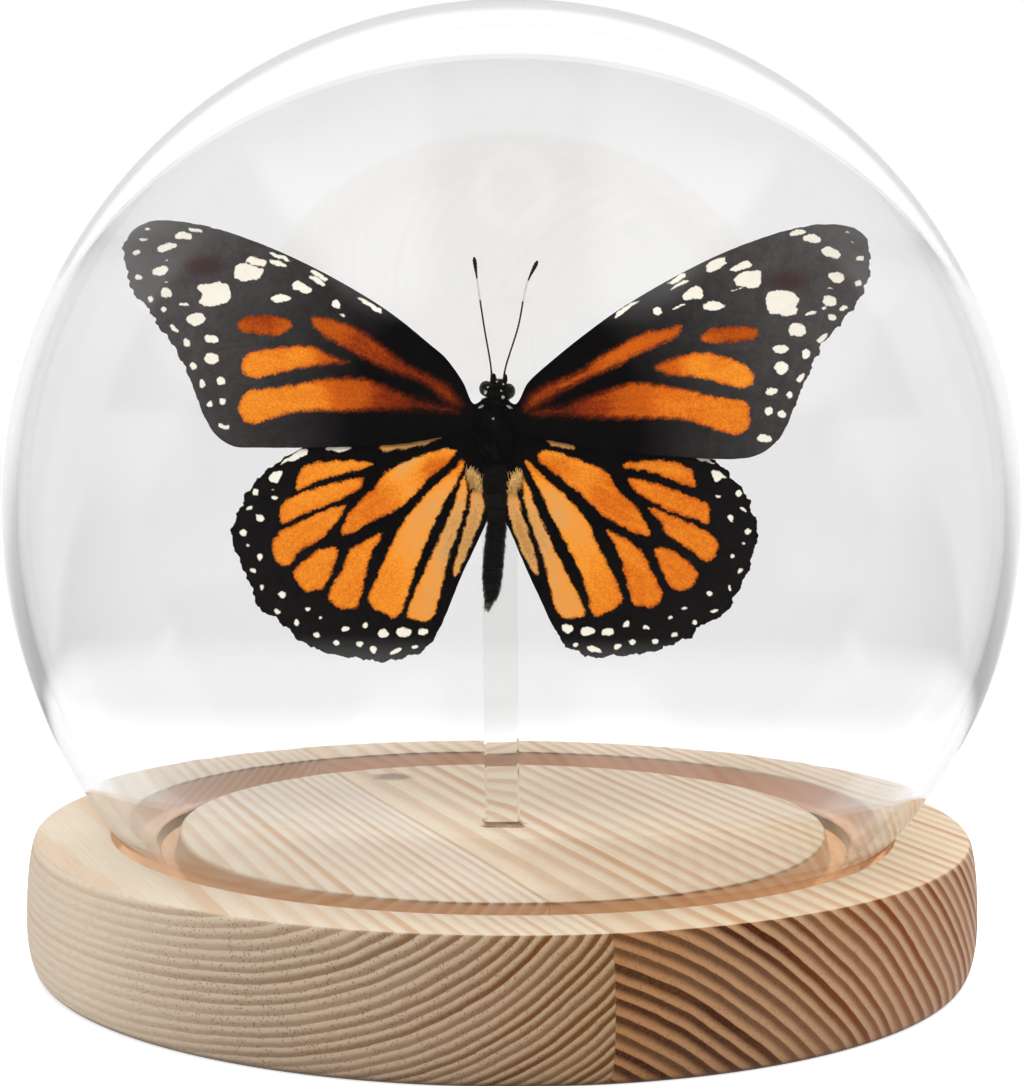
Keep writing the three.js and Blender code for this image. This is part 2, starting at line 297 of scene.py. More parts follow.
class Effect:
    """A shader node group that several materials share, with named inputs and outputs."""

    def __init__(self, name: str, inputs: dict[str, float | None], build: Callable[..., Wires]) -> None:
        """Makes the group.

        Args:
            name: the group's name.
            inputs: each input's name and start value, or None for a place in millimetres.
            build: makes the group's inside from its tree and input wires, and returns its outputs.
        """
        self.tree = bpy.data.node_groups.new(name, "ShaderNodeTree")
        for title, value in inputs.items():
            kind = "NodeSocketVector" if value is None else "NodeSocketFloat"
            socket = self.tree.interface.new_socket(name=title, in_out="INPUT", socket_type=kind)
            if value is not None:
                socket.default_value = value
        source = self.tree.nodes.new("NodeGroupInput")
        wires = {title: Wire(self.tree, source.outputs[title]) for title in inputs}
        results = build(self.tree, wires)
        for title in results:
            self.tree.interface.new_socket(name=title, in_out="OUTPUT", socket_type="NodeSocketFloat")
        sink = self.tree.nodes.new("NodeGroupOutput")
        for title, wire in results.items():
            self.tree.links.new(wire.socket, sink.inputs[title])

    def put(self, tree: Tree, **values: "Feed") -> Wires:
        """Places the group in a material and gives its outputs by name."""
        node = tree.nodes.new("ShaderNodeGroup")
        node.node_tree = self.tree
        for title, value in values.items():
            plug(tree, node.inputs[title], value)
        return {socket.name: Wire(tree, socket) for socket in node.outputs}


def growth_rings(tree: Tree, wires: Wires) -> Wires:
    """Growth rings about a board's pith.

    Args:
        tree: the group's tree.
        wires: Place, the pith's PithAcross and PithUp, the ring Spacing and how far the rings Wander.

    Returns:
        Late, the dark late wood of each ring, and Year, a value that is the same all over one ring.
    """
    point = wires["Place"]
    across = along(tree, point, ACROSS)
    length = along(tree, point, GRAIN)
    height = along(tree, point, (0, 0, 1))
    calm = joined(tree, across, length * 0.12, height)
    wander = (noise(tree, calm, 0.05, 1) - 0.5) * 2.0 + (noise(tree, calm, 0.3, 2) - 0.5) * 0.35
    away = distance(across - wires["PithAcross"], height - wires["PithUp"])
    count = (away + wander * wires["Wander"]) / wires["Spacing"]
    uneven = count + (noise(tree, joined(tree, count, 0, 0), 0.4, 0) - 0.5) * 0.35
    share = uneven.math("FRACT")
    late = share.smooth(0.12, 0.68) * share.smooth(0.88, 1.0, 1, 0)
    dice = tree.nodes.new("ShaderNodeTexWhiteNoise")
    dice.noise_dimensions = "1D"
    plug(tree, dice.inputs["W"], uneven.math("FLOOR"))
    return {"Late": late, "Year": Wire(tree, dice.outputs["Value"])}


def wood_fibre(tree: Tree, wires: Wires) -> Wires:
    """The fine structure of pine.

    Args:
        tree: the group's tree.
        wires: Place.

    Returns:
        Streak, the fibres seen along the grain, and Pore, the cut ends of the fibres.
    """
    point = wires["Place"]
    across = along(tree, point, ACROSS)
    length = along(tree, point, GRAIN)
    height = along(tree, point, (0, 0, 1))
    streak = noise(tree, joined(tree, across * 3.2, length * 0.09, height * 3.2), 1, 3, 0.65)
    ends = joined(tree, across * 1.5, length * 0.25, height * 0.8)
    specks = cells(tree, ends, 3.0).smooth(0.08, 0.36, 1, 0)
    patches = noise(tree, ends, 0.9, 1).smooth(0.33, 0.5)
    return {"Streak": streak, "Pore": specks * patches}


def fuzzy_edge(tree: Tree, wires: Wires) -> Wires:
    """Turns the depth inside a marking into a mask whose edge is broken up by scales.

    Args:
        tree: the group's tree, which is not used.
        wires: Depth in millimetres, Grain from 0 to 1, Fuzz the edge's unevenness and Soft its width.

    Returns:
        Mask, 1 inside the marking.
    """
    moved = wires["Depth"] + (wires["Grain"] - 0.5) * wires["Fuzz"]
    return {"Mask": moved.smooth(0.0 - wires["Soft"], wires["Soft"])}


def scale_grain(tree: Tree, wires: Wires) -> Wires:
    """The rows of tiny scales that cover a wing.

    Args:
        tree: the group's tree.
        wires: Place.

    Returns:
        Grain, the scales' unevenness from 0 to 1, and Cloud, a slower change over the wing.
    """
    fine = cells(tree, wires["Place"], 5.5, "Color")
    shade = tree.nodes.new("ShaderNodeSeparateColor")
    tree.links.new(fine.socket, shade.inputs[0])
    mix = Wire(tree, shade.outputs[0]) * 0.55 + noise(tree, wires["Place"], 4.0, 2, 0.6) * 0.45
    return {"Grain": mix, "Cloud": noise(tree, wires["Place"], 0.6, 3, 0.6)}


class Effects:
    """The node groups that the materials share, each made once."""

    def __init__(self) -> None:
        """Makes every group."""
        ring_values = {"Place": None, "PithAcross": 0.0, "PithUp": 0.0, "Spacing": 1.4, "Wander": 1.0}
        self.rings = Effect("Growth rings", ring_values, growth_rings)
        self.fibre = Effect("Wood fibre", {"Place": None}, wood_fibre)
        self.edge = Effect("Fuzzy edge", {"Depth": 0.0, "Grain": 0.5, "Fuzz": 0.1, "Soft": 0.05}, fuzzy_edge)
        self.scales = Effect("Scale grain", {"Place": None}, scale_grain)


@dataclass(frozen=True)
class Coat:
    """A new material with its Principled shader, and the ways to feed it."""

    name: str

    def start(self) -> tuple[Material, Tree, Node]:
        """Makes the material and returns it with its node tree and its Principled shader."""
        material = bpy.data.materials.new(self.name)
        material.use_nodes = True
        tree = material.node_tree
        return material, tree, tree.nodes["Principled BSDF"]

    @staticmethod
    def paint(tree: Tree, shader: Node, colour: Feed, rough: Feed, specular: float) -> None:
        """Feeds the shader's colour, roughness and specular level."""
        for name, value in (("Base Color", colour), ("Roughness", rough), ("Specular IOR Level", specular)):
            plug(tree, shader.inputs[name], value)

    @staticmethod
    def bump(tree: Tree, shader: Node, height: Wire, depth: float) -> None:
        """Feeds the shader's normal from a height of 0 to 1 that is depth millimetres deep."""
        node = tree.nodes.new("ShaderNodeBump")
        node.inputs["Distance"].default_value = depth * MM
        plug(tree, node.inputs["Height"], height)
        tree.links.new(node.outputs["Normal"], shader.inputs["Normal"])


# --- Meshes ---


@dataclass
class Stock:
    """Mesh parts in millimetres, collected into one piece."""

    name: str
    slot: Slot
    coats: list[Material]
    stands_for: tuple[str, ...] = ()
    points: list[Array] = field(default_factory=list)
    faces: list[list[int]] = field(default_factory=list)
    coat_of: list[int] = field(default_factory=list)
    masks: dict[str, list[Array]] = field(default_factory=dict)
    count: int = 0

    def add(
        self, points: Array, faces: Sequence[Sequence[int]], coat: int = 0, **masks: Array | float
    ) -> None:
        """Adds a part.

        Args:
            points: its points, one to a row.
            faces: its faces, as indices into its own points.
            coat: which of the piece's materials it has.
            masks: values that its points carry for the material, one for each point or one for all.
        """
        for name in set(masks) | set(self.masks):
            if name not in self.masks:
                self.masks[name] = [np.zeros(self.count)] if self.count else []
            self.masks[name].append(np.broadcast_to(masks.get(name, 0.0), len(points)))
        self.points.append(np.asarray(points, float))
        self.faces.extend([[i + self.count for i in face] for face in faces])
        self.coat_of.extend([coat] * len(faces))
        self.count += len(points)

    def mount(self, shape: Shape, coat: int = 0, **masks: Array | float) -> None:
        """Adds a part that is given in the butterfly's own coordinates."""
        points, faces = shape
        self.add(points + np.array(BUTTERFLY_PLACE), faces, coat, **masks)

    def build(self, crease: float = 180) -> bpy.types.Object:
        """Makes the object and hangs it on the part's body.

        Args:
            crease: edges that turn by more than this angle in degrees stay sharp.

        Returns:
            The finished object.
        """
        mesh = bpy.data.meshes.new(self.name)
        mesh.from_pydata((np.vstack(self.points) * MM).tolist(), [], self.faces)
        for name, parts in self.masks.items():
            layer = mesh.attributes.new(name, "FLOAT", "POINT")
            layer.data.foreach_set("value", np.concatenate(parts).astype(np.float32))
        for coat in self.coats:
            mesh.materials.append(coat)
        mesh.polygons.foreach_set("material_index", self.coat_of)
        mesh.shade_smooth()
        if crease < 180:
            mesh.set_sharp_from_angle(angle=math.radians(crease))
        thing = placed(self.name, mesh)
        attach(thing, BODY)
        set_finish(thing, self.slot.value)
        if self.stands_for:
            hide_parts(*self.stands_for)
        LOG.info("%s: %d points, %d faces", self.name, self.count, len(self.faces))
        return thing


def placed(name: str, data: bpy.types.ID) -> bpy.types.Object:
    """A new object in the scene, made from a mesh, a lamp or a camera."""
    thing = bpy.data.objects.new(name, data)
    bpy.context.scene.collection.objects.link(thing)
    return thing


def unit(vectors: Array) -> Array:
    """Vectors of length one."""
    return vectors / np.maximum(np.linalg.norm(vectors, axis=-1, keepdims=True), 1e-9)


def rings_joined(rings: int, sides: int, closed: bool = True) -> list[list[int]]:
    """Quads between rings of points, each ring joined to the next one.

    Args:
        rings: how many rings there are.
        sides: points in a ring.
        closed: whether a ring's last point joins its first.

    Returns:
        The faces.
    """
    faces = []
    for r in range(rings - 1):
        for s in range(sides if closed else sides - 1):
            t = (s + 1) % sides
            faces.append([r * sides + s, r * sides + t, (r + 1) * sides + t, (r + 1) * sides + s])
    return faces


def fan(tip: int, start: int, sides: int, ahead: bool = True) -> list[list[int]]:
    """Triangles from a point to the ring that begins at start, turning ahead or back along the ring."""
    pairs = [(start + s, start + (s + 1) % sides) for s in range(sides)]
    return [[tip, a, b] if ahead else [tip, b, a] for a, b in pairs]


def ball(centre: Sequence[float], radii: Sequence[float], rings: int, sides: int) -> Shape:
    """A closed egg shape with its poles at the top and the bottom.

    Args:
        centre: its middle.
        radii: its three half widths.
        rings: how many rings of points it has.
        sides: points in a ring.

    Returns:
        The points and the faces.
    """
    points = []
    for r in range(rings):
        tilt = math.pi * (r + 0.5) / rings
        turn = np.linspace(0, 2 * math.pi, sides, endpoint=False)
        flat = np.sin(tilt)
        points.append(np.stack([flat * np.cos(turn), flat * np.sin(turn), np.full(sides, np.cos(tilt))], 1))
    rows = np.vstack(points + [np.array([[0, 0, 1.0], [0, 0, -1.0]])])
    top, low = rings * sides, rings * sides + 1
    faces = [[a, d, c, b] for a, b, c, d in rings_joined(rings, sides)]
    faces += fan(top, 0, sides) + fan(low, (rings - 1) * sides, sides, False)
    return rows * np.array(radii) + np.array(centre), faces


def smooth_line(knots: Sequence[Sequence[float]], closed: bool, pitch: float) -> Array:
    """A smooth line through knots, as evenly stepped points.

    Args:
        knots: the points it passes through, each with two or three coordinates.
        closed: whether it runs back to its start.
        pitch: the longest step, in millimetres.

    Returns:
        The line's points. A closed line doesn't repeat its first point.
    """
    spots = np.array(knots, float)
    if not closed:
        spots = np.vstack([2 * spots[0] - spots[1], spots, 2 * spots[-1] - spots[-2]])
    spans = range(len(spots)) if closed else range(1, len(spots) - 2)
    line = []
    for i in spans:
        a, b, c, d = (spots[(i + k) % len(spots)] for k in (-1, 0, 1, 2))
        ab, bc, cd = (max(float(np.linalg.norm(q - p)), 1e-4) ** 0.5 for p, q in ((a, b), (b, c), (c, d)))
        out = ((b - a) / ab - (c - a) / (ab + bc) + (c - b) / bc) * bc
        into = ((c - b) / bc - (d - b) / (bc + cd) + (d - c) / cd) * bc
        steps = max(1, math.ceil(float(np.linalg.norm(c - b)) / pitch))
        t = (np.arange(steps) / steps)[:, None]
        line.append(b + out * t + (3 * (c - b) - 2 * out - into) * t**2 + (2 * (b - c) + out + into) * t**3)
    if not closed:
        line.append(spots[-2:-1])
    return np.vstack(line)


def tube(path: Array, radius: Array, sides: int) -> Shape:
    """A closed round tube along a path, with a radius for each of the path's points.

    Args:
        path: the points along its middle.
        radius: the tube's radius at each of the path's points.
        sides: points in a ring.

    Returns:
        The points and the faces.
    """
    ahead = unit(np.gradient(path, axis=0))
    side = unit(np.cross(ahead, np.array([0.13, -0.97, 0.2])))
    lift = np.cross(ahead, side)
    turn = np.linspace(0, 2 * math.pi, sides, endpoint=False)
    ring = np.cos(turn)[None, :, None] * side[:, None] + np.sin(turn)[None, :, None] * lift[:, None]
    points = path[:, None] + ring * radius[:, None, None]
    tips = (path[:1] - ahead[:1] * radius[0] * 0.5, path[-1:] + ahead[-1:] * radius[-1] * 0.5)
    rows = np.vstack([points.reshape(-1, 3), *tips])
    caps = fan(len(rows) - 2, 0, sides, False) + fan(len(rows) - 1, (len(path) - 1) * sides, sides)
    return rows, rings_joined(len(path), sides) + caps


def level_ring(radius: Array | float, height: float, sides: int, middle: float = 0) -> Array:
    """A level ring of points, with one radius or one for each point, round an axis at x = middle."""
    turn = np.linspace(0, 2 * math.pi, sides, endpoint=False)
    return np.stack([middle + radius * np.cos(turn), radius * np.sin(turn), np.full(sides, height)], 1)


def turned(profile: Sequence[Point], sides: int) -> Shape:
    """A shape turned about an upright axis, from a profile of radius and height. Its ends stay open.

    Args:
        profile: radius and height of each ring, from the bottom of the outside over the top.
        sides: points in a ring.

    Returns:
        The points and the faces.
    """
    rows = [level_ring(radius, height, sides) for radius, height in profile]
    return np.vstack(rows), rings_joined(len(profile), sides)


def rounded(corners: Sequence[Place], steps: int = 5) -> list[Point]:
    """A line whose corners are rounded off.

    Args:
        corners: each corner's two coordinates and its rounding radius.
        steps: how many steps a rounding has.

    Returns:
        The line's points.
    """
    line = []
    for i, (x, y, radius) in enumerate(corners):
        here = np.array([x, y])
        if radius <= 0 or i in (0, len(corners) - 1):
            line.append((x, y))
            continue
        back = unit(np.array(corners[i - 1][:2]) - here)
        ahead = unit(np.array(corners[i + 1][:2]) - here)
        half = math.acos(float(np.clip(back @ ahead, -1, 1))) / 2
        reach = radius / math.tan(half)
        hub = here + unit(back + ahead) * radius / math.sin(half)
        start, end = here + back * reach - hub, here + ahead * reach - hub
        for k in range(steps + 1):
            spoke = unit(start * (1 - k / steps) + end * (k / steps)) * radius
            line.append(tuple(hub + spoke))
    return line


# A hair's faces: points 0 to 2 are its root, 3 to 5 its middle and 6 its tip.
HAIR_FACES = np.array([
    (0, 1, 4), (0, 4, 3), (1, 2, 5), (1, 5, 4), (2, 0, 3), (2, 3, 5),
    (3, 4, 6), (4, 5, 6), (5, 3, 6), (2, 1, 0),
])
HAIR_POINTS = 7


@dataclass(frozen=True)
class Fur:
    """Tapered three-sided hairs."""

    length: float
    width: float
    droop: Place = (0.0, 0.0, 0.0)
    spread: float = 0.3

    def grow(self, roots: Array, outward: Array, dice: Dice) -> Shape:
        """Grows a hair at each root.

        Args:
            roots: where the hairs stand.
            outward: which way each hair starts.
            dice: the source of their unevenness.

        Returns:
            The points and the faces.
        """
        count = len(roots)
        start = unit(unit(outward) + dice.normal(0, self.spread, (count, 3)))
        reach = (self.length * dice.uniform(0.6, 1.25, count))[:, None]
        droop = np.array(self.droop)
        middle = roots + start * reach * 0.5 + droop * reach * 0.12
        tip = roots + start * reach * 0.92 + droop * reach * 0.5
        side = unit(np.cross(start, dice.normal(0, 1, (count, 3))))
        lift = np.cross(start, side)
        rows = []
        for centre, share in ((roots - start * 0.05, 1.0), (middle, 0.7)):
            for corner in range(3):
                turn = 2 * math.pi * corner / 3
                rows.append(centre + (side * math.cos(turn) + lift * math.sin(turn)) * self.width * share / 2)
        rows.append(tip)
        points = np.stack(rows, 1).reshape(-1, 3)
        faces = (HAIR_FACES[None] + HAIR_POINTS * np.arange(count)[:, None, None]).reshape(-1, 3)
        return points, faces.tolist()


def rough_ring(dice: Dice, count: int, width: int) -> Array:
    """Uneven values round a ring: the running mean, over a width, of random draws."""
    draws = np.tile(dice.normal(0, 1, count), 3)
    return np.convolve(draws, np.ones(width) / width, "same")[count : 2 * count]


def run_along(path: Array) -> Array:
    """How far along a path each of its points lies."""
    steps = np.linalg.norm(np.diff(path, axis=0), axis=1)
    return np.concatenate([[0], np.cumsum(steps)])


# --- The pine base ---


@dataclass(frozen=True)
class PineCoat:
    """Waxed pine, with growth rings about a board's own pith.

    The pith's place is across the grain and above the base's top. Long grain is pale and cut grain is tan,
    with dark rings of late_long and late_end. A share is its value on the left, and what the right adds.
    """

    name: str
    pith: Point
    spacing: float
    pale: str
    tan: str
    late_long: str
    late_end: str
    tan_share: Point
    late_share: Point
    wander: float = 1.0

    def make(self, effects: Effects) -> Material:
        """Makes the material.

        Args:
            effects: the node groups that the materials share.

        Returns:
            The material.
        """
        material, tree, shader = Coat(self.name).start()
        point = place(tree)
        rings = effects.rings.put(
            tree, Place=point, PithAcross=self.pith[0], PithUp=BASE_TOP + self.pith[1],
            Spacing=self.spacing, Wander=self.wander,
        )
        fibre = effects.fibre.put(tree, Place=point)
        across = along(tree, point, ACROSS)
        right = across.smooth(-58, 45)
        x, y, z = (along(tree, point, axis) for axis in AXES)
        out = distance(x, y)
        below = z.smooth(BASE_TOP - 0.5, BASE_TOP - 0.1, 1, 0)
        inner, outer, _ = GROOVE
        sunk = below * out.smooth(outer + 0.6, outer + 1.0, 1, 0) * out.smooth(inner - 1.0, inner - 0.6)
        face = tree.nodes.new("ShaderNodeNewGeometry")
        facing = along(tree, Wire(tree, face.outputs["Normal"]), GRAIN).math("ABSOLUTE")
        # In the groove most of the cut grain's darkening is dropped: painted light against the groove's
        # shade.
        end = facing.smooth(0.18, 0.72) * (1 - sunk * 0.8)
        late = rings["Late"] * (0.7 + rings["Year"] * 0.4)
        tan_share = end * (self.tan_share[0] + right * self.tan_share[1])
        ground = mixed(tree, tan_share, self.pale, self.tan)
        rim_share = out.smooth(inner - 0.7, inner + 0.3) * (0.3 - right * 0.1) * (1 - end)
        ground = mixed(tree, rim_share, ground, "#c9b088")
        long_share = late.math("POWER", 2.0) * across.smooth(-54, -32, 0.4, 0.65) * (1 - end)
        end_share = late * end * (self.late_share[0] + right * self.late_share[1])
        veined = mixed(tree, long_share, ground, self.late_long)
        late_colour = mixed(tree, right.smooth(0.6, 1.0), self.late_end, "#7a3606")
        ringed = mixed(tree, end_share, veined, late_colour)
        streak_share = fibre["Streak"].smooth(0.35, 0.8) * (0.16 + end * 0.06) * (1 - right * 0.5)
        streaked = mixed(tree, streak_share, ringed, "#a8794c")
        pored = mixed(tree, fibre["Pore"] * end * (0.75 - right * 0.6), streaked, "#6b4526")
        cloud = noise(tree, point, 0.06, 2)
        clouded = mixed(tree, cloud.smooth(0.35, 0.75) * 0.08, pored, "#b98a58")
        # In the groove the wood turns orange and lighter: partly the orange of the routed wood, partly
        # painted light that brightens the shaded groove.
        groove_burn_and_light_share = sunk * (0.3 + right * 0.25 + noise(tree, point, 0.5, 2) * 0.3)
        groove_burn_and_light = mixed(tree, groove_burn_and_light_share, clouded, "#f2b078")
        # Painted light in the rod hole: its walls are coloured a light orange because little light reaches
        # them. The torn fibres above the top get the same fresh-wood colour, which is their own.
        hole_painted_light = below * out.smooth(4.0, 5.0, 1, 0)
        torn_fibres_and_lit_hole = hole_painted_light.math("MAXIMUM", z.smooth(BASE_TOP + 0.02, BASE_TOP + 0.1))
        fresh_fibres_and_lit_hole = mixed(tree, torn_fibres_and_lit_hole * 0.9, groove_burn_and_light, "#f0ab6a")
        # Painted contact shade: the side darkens to brown over its lowest millimetre, where the base meets
        # the floor.
        contact_shaded = mixed(tree, z.smooth(0.1, 0.9, 0.7, 0), fresh_fibres_and_lit_hole, "#4a3018")
        knotted = mixed(tree, self.knot(tree, point) * 0.65, contact_shaded, "#5d422b")
        Coat.paint(tree, shader, knotted, 0.5 + fibre["Streak"] * 0.16 - late * 0.08, 0.1)
        Coat.bump(tree, shader, late * 0.06 + fibre["Streak"] * 0.3 - fibre["Pore"] * end * 1.2, 0.05)
        return material

    @staticmethod
    def knot(tree: Tree, point: Wire) -> Wire:
        """The small dark resin streak near the back of the base's middle."""
        across = along(tree, point, (1, 0, 0)) - KNOT_PLACE[0]
        deep = along(tree, point, (0, 1, 0)) - KNOT_PLACE[1]
        ragged = noise(tree, point, 1.9, 3, 0.7) - 0.5
        away = distance(across / KNOT_REACH, deep / KNOT_REACH) + ragged * 1.3
        return away.smooth(0.45, 1.0, 1, 0)


@dataclass(frozen=True)
class PineBase:
    """The round base, glued up from two boards, with a groove for the globe and a square hole for the rod."""

    height: float = BASE_TOP
    widest: Point = (60.0, 6.2)
    top_radius: float = 58.6
    bottom_radius: float = 58.1
    slant: float = 0.9
    glue_offset: float = -10.1
    glue_width: float = 0.05
    hole_middle: float = 0.03
    hole_width: float = 4.65
    hole_depth: float = 8.0
    sides: int = 360

    def profile(self) -> list[Point]:
        """The outside from the middle of the underside to the edge of the flat round the rod.

        Returns:
            The radius and height of each ring.
        """
        steps = 14
        radius, middle = self.widest
        turns = [math.pi / 2 * k / steps for k in range(steps + 1)]
        edge = []
        for turn in turns:
            bulge = radius - self.bottom_radius
            edge.append((self.bottom_radius + bulge * math.sin(turn), middle * (1 - math.cos(turn)), 0.0))
        for turn in turns[1:]:
            bulge = radius - self.top_radius
            rise = self.height - middle
            edge.append((self.top_radius + bulge * math.cos(turn), middle + rise * math.sin(turn), 0.0))
        inner, outer, depth = GROOVE
        floor = self.height - depth
        top = [
            (outer, self.height, 0.35), (outer - self.slant / 2, floor, 0.5),
            (inner + self.slant, floor, 0.5), (inner, self.height, 0.55), (8.0, self.height, 0),
        ]
        return rounded([(0.0, 0.0, 0.0), (30.0, 0.0, 0.0), *edge, (55.0, self.height, 0.0), *top])

    def disc(self) -> Shape:
        """The whole turned base with its rod hole, before the boards are told apart.

        Returns:
            The points and the faces.
        """
        sides = self.sides
        profile = self.profile()
        points, faces = turned(profile, sides)
        rows = [points]
        turn = np.linspace(0, 2 * math.pi, sides, endpoint=False)
        ragged = rough_ring(np.random.default_rng(7), sides, 5)
        half = self.hole_width / 2
        square = half / (np.abs(np.cos(turn)) ** 14 + np.abs(np.sin(turn)) ** 14) ** (1 / 14)
        levels = [(0.45, 0.0, 0.25), (0.1, 0.0, 0.1), (0.0, -0.12, 0.06), (0.0, -self.hole_depth, 0.0)]
        base = len(points)
        for out, down, uneven in levels:
            reach = square + out + np.abs(ragged) * uneven
            rows.append(level_ring(reach, self.height + down, sides, self.hole_middle))
        starts = [(len(profile) - 1) * sides, *(base + k * sides for k in range(len(levels)))]
        for upper, lower in zip(starts, starts[1:]):
            for s in range(sides):
                t = (s + 1) % sides
                faces.append([upper + s, upper + t, lower + t, lower + s])
        rows.append(np.array([[self.hole_middle, 0, self.height - self.hole_depth]]))
        return np.vstack(rows), faces + fan(base + len(levels) * sides, starts[-1], sides)

    def board(self, side: int) -> Shape:
        """One board of the base: side is -1 for the left one and 1 for the right one.

        Args:
            side: -1 for the left one and 1 for the right one.

        Returns:
            The points and the faces.
        """
        points, faces = self.disc()
        mesh = bpy.data.meshes.new("board")
        mesh.from_pydata(points.tolist(), [], faces)
        work = bmesh.new()
        work.from_mesh(mesh)
        bmesh.ops.remove_doubles(work, verts=work.verts, dist=1e-4)
        where = np.array(ACROSS) * (self.glue_offset + side * self.glue_width / 2)
        parts = work.verts[:] + work.edges[:] + work.faces[:]
        cut = bmesh.ops.bisect_plane(
            work, geom=parts, dist=1e-5, plane_co=where, plane_no=np.array(ACROSS) * -side, clear_outer=True
        )
        rim = [item for item in cut["geom_cut"] if isinstance(item, bmesh.types.BMEdge)]
        bmesh.ops.triangle_fill(work, edges=rim, use_beauty=True)
        bmesh.ops.recalc_face_normals(work, faces=work.faces)
        work.verts.index_update()
        rows = np.array([tuple(v.co) for v in work.verts])
        sheets = [[v.index for v in face.verts] for face in work.faces]
        work.free()
        bpy.data.meshes.remove(mesh)
        return rows, sheets

    def splinters(self) -> Shape:
        """Torn fibres that stand round the rod hole.

        Returns:
            The points and the faces.
        """
        dice = np.random.default_rng(31)
        count = 90
        along_side = dice.uniform(-1, 1, count) * self.hole_width / 2
        front = dice.random(count) < 0.7
        side = np.where(dice.random(count) < 0.5, -1, 1) * self.hole_width / 2
        edge = -self.hole_width / 2 - dice.uniform(-0.05, 0.35, count)
        x = np.where(front, along_side, side * 1.06) + self.hole_middle
        y = np.where(front, edge, along_side)
        roots = np.stack([x, y, np.full(count, self.height)], 1)
        lean = [dice.normal(0, 1, count), dice.normal(-0.2, 1, count), dice.uniform(0.02, 0.3, count)]
        return Fur(length=0.75, width=0.16, spread=0.2).grow(roots, np.stack(lean, 1), dice)

    def build(self, effects: Effects) -> None:
        """Builds both boards and the torn fibres.

        Args:
            effects: the node groups that the materials share.
        """
        left = PineCoat(
            "Pine, left board", pith=(-57.0, 42.0), spacing=1.15, pale="#eae0d0", tan="#a07843",
            late_long="#cda278", late_end="#643a18", tan_share=(0.47, 0.7), late_share=(0.5, 1.6),
        )
        right = PineCoat(
            "Pine, right board", pith=(-32.0, -62.0), spacing=1.65, pale="#e4d4bb", tan="#a97547",
            late_long="#bd8450", late_end="#3a1402", tan_share=(1.2, -0.55), late_share=(1.15, -0.15),
        )
        for side, name, coat in ((-1, "base_board_left", left), (1, "base_board_right", right)):
            piece = Stock(f"{name}_wood", Slot.PINE, [coat.make(effects)], (name,))
            piece.add(*self.board(side))
            if side > 0:
                piece.add(*self.splinters())
            piece.build(crease=38)


# --- The globe and the rod ---


@dataclass(frozen=True)
class ClearCoat:
    """Clear glass or acrylic, with a little dust on it. Shadows pass through it."""

    name: str
    ior: float
    tint: str
    dust: float

    def make(self, effects: Effects) -> Material:
        """Makes the material.

        Args:
            effects: the node groups that the materials share; not used here.

        Returns:
            The material.
        """
        material, tree, shader = Coat(self.name).start()
        point = place(tree)
        across, up = along(tree, point, (1, 0.3, 0)), along(tree, point, (0, 0, 1))
        wipe = noise(tree, joined(tree, across * 0.2, up * 0.05, 0.0), 1, 2)
        specks = cells(tree, point, 0.35).smooth(0.03, 0.05, 1, 0)
        colour = mixed(tree, specks * self.dust + wipe * 0.012, self.tint, "#d6d6d2")
        Coat.paint(tree, shader, colour, wipe.smooth(0.5, 0.8) * 0.006 + specks * 0.05, 0.5)
        shader.inputs["Transmission Weight"].default_value = 1.0
        shader.inputs["IOR"].default_value = self.ior
        path = tree.nodes.new("ShaderNodeLightPath")
        through = tree.nodes.new("ShaderNodeBsdfTransparent")
        shaders_mixed(tree, Wire(tree, path.outputs["Is Shadow Ray"]), shader, through)
        return material


@dataclass(frozen=True)
class Globe:
    """The blown globe, open below, with a cut and fire-polished rim."""

    radius: float = 63.3
    wall: float = 1.8
    centre_height: float = BASE_TOP + 40.3
    shift: float = 0.8
    foot_shift: float = 0.15
    rim_height: float = BASE_TOP - 3.5
    sides: int = 288
    steps: int = 110

    def arc(self, radius: float) -> list[Place]:
        """Corners of a wall's surface, from the rim up to near the top."""
        low = math.asin((self.rim_height - self.centre_height) / radius)
        high = math.radians(89.2)
        turns = [low + (high - low) * k / self.steps for k in range(self.steps + 1)]
        return [(radius * math.cos(t), self.centre_height + radius * math.sin(t), 0.0) for t in turns]

    def build(self, effects: Effects) -> None:
        """Builds the globe.

        Args:
            effects: the node groups that the materials share.
        """
        inner = self.arc(self.radius - self.wall)
        outer = self.arc(self.radius)
        inner[0] = (*inner[0][:2], 0.7)
        outer[0] = (*outer[0][:2], 0.7)
        profile = rounded([*reversed(inner), *outer], 6)
        points, faces = turned(profile, self.sides)
        points[:, 0] += np.interp(points[:, 2], (BASE_TOP, BASE_TOP + 18), (self.foot_shift, self.shift))
        top = self.centre_height + self.radius
        poles = np.array([[self.shift, 0, top - self.wall], [self.shift, 0, top]])
        faces += fan(len(points), 0, self.sides, False)
        faces += fan(len(points) + 1, (len(profile) - 1) * self.sides, self.sides)
        glass = ClearCoat("Clear globe glass", 1.5, "#fbfbfb", 0.25)
        piece = Stock("glass_globe_wall", Slot.GLOBE, [glass.make(effects)], ("glass_globe",))
        piece.add(np.vstack([points, poles]), faces)
        piece.build()


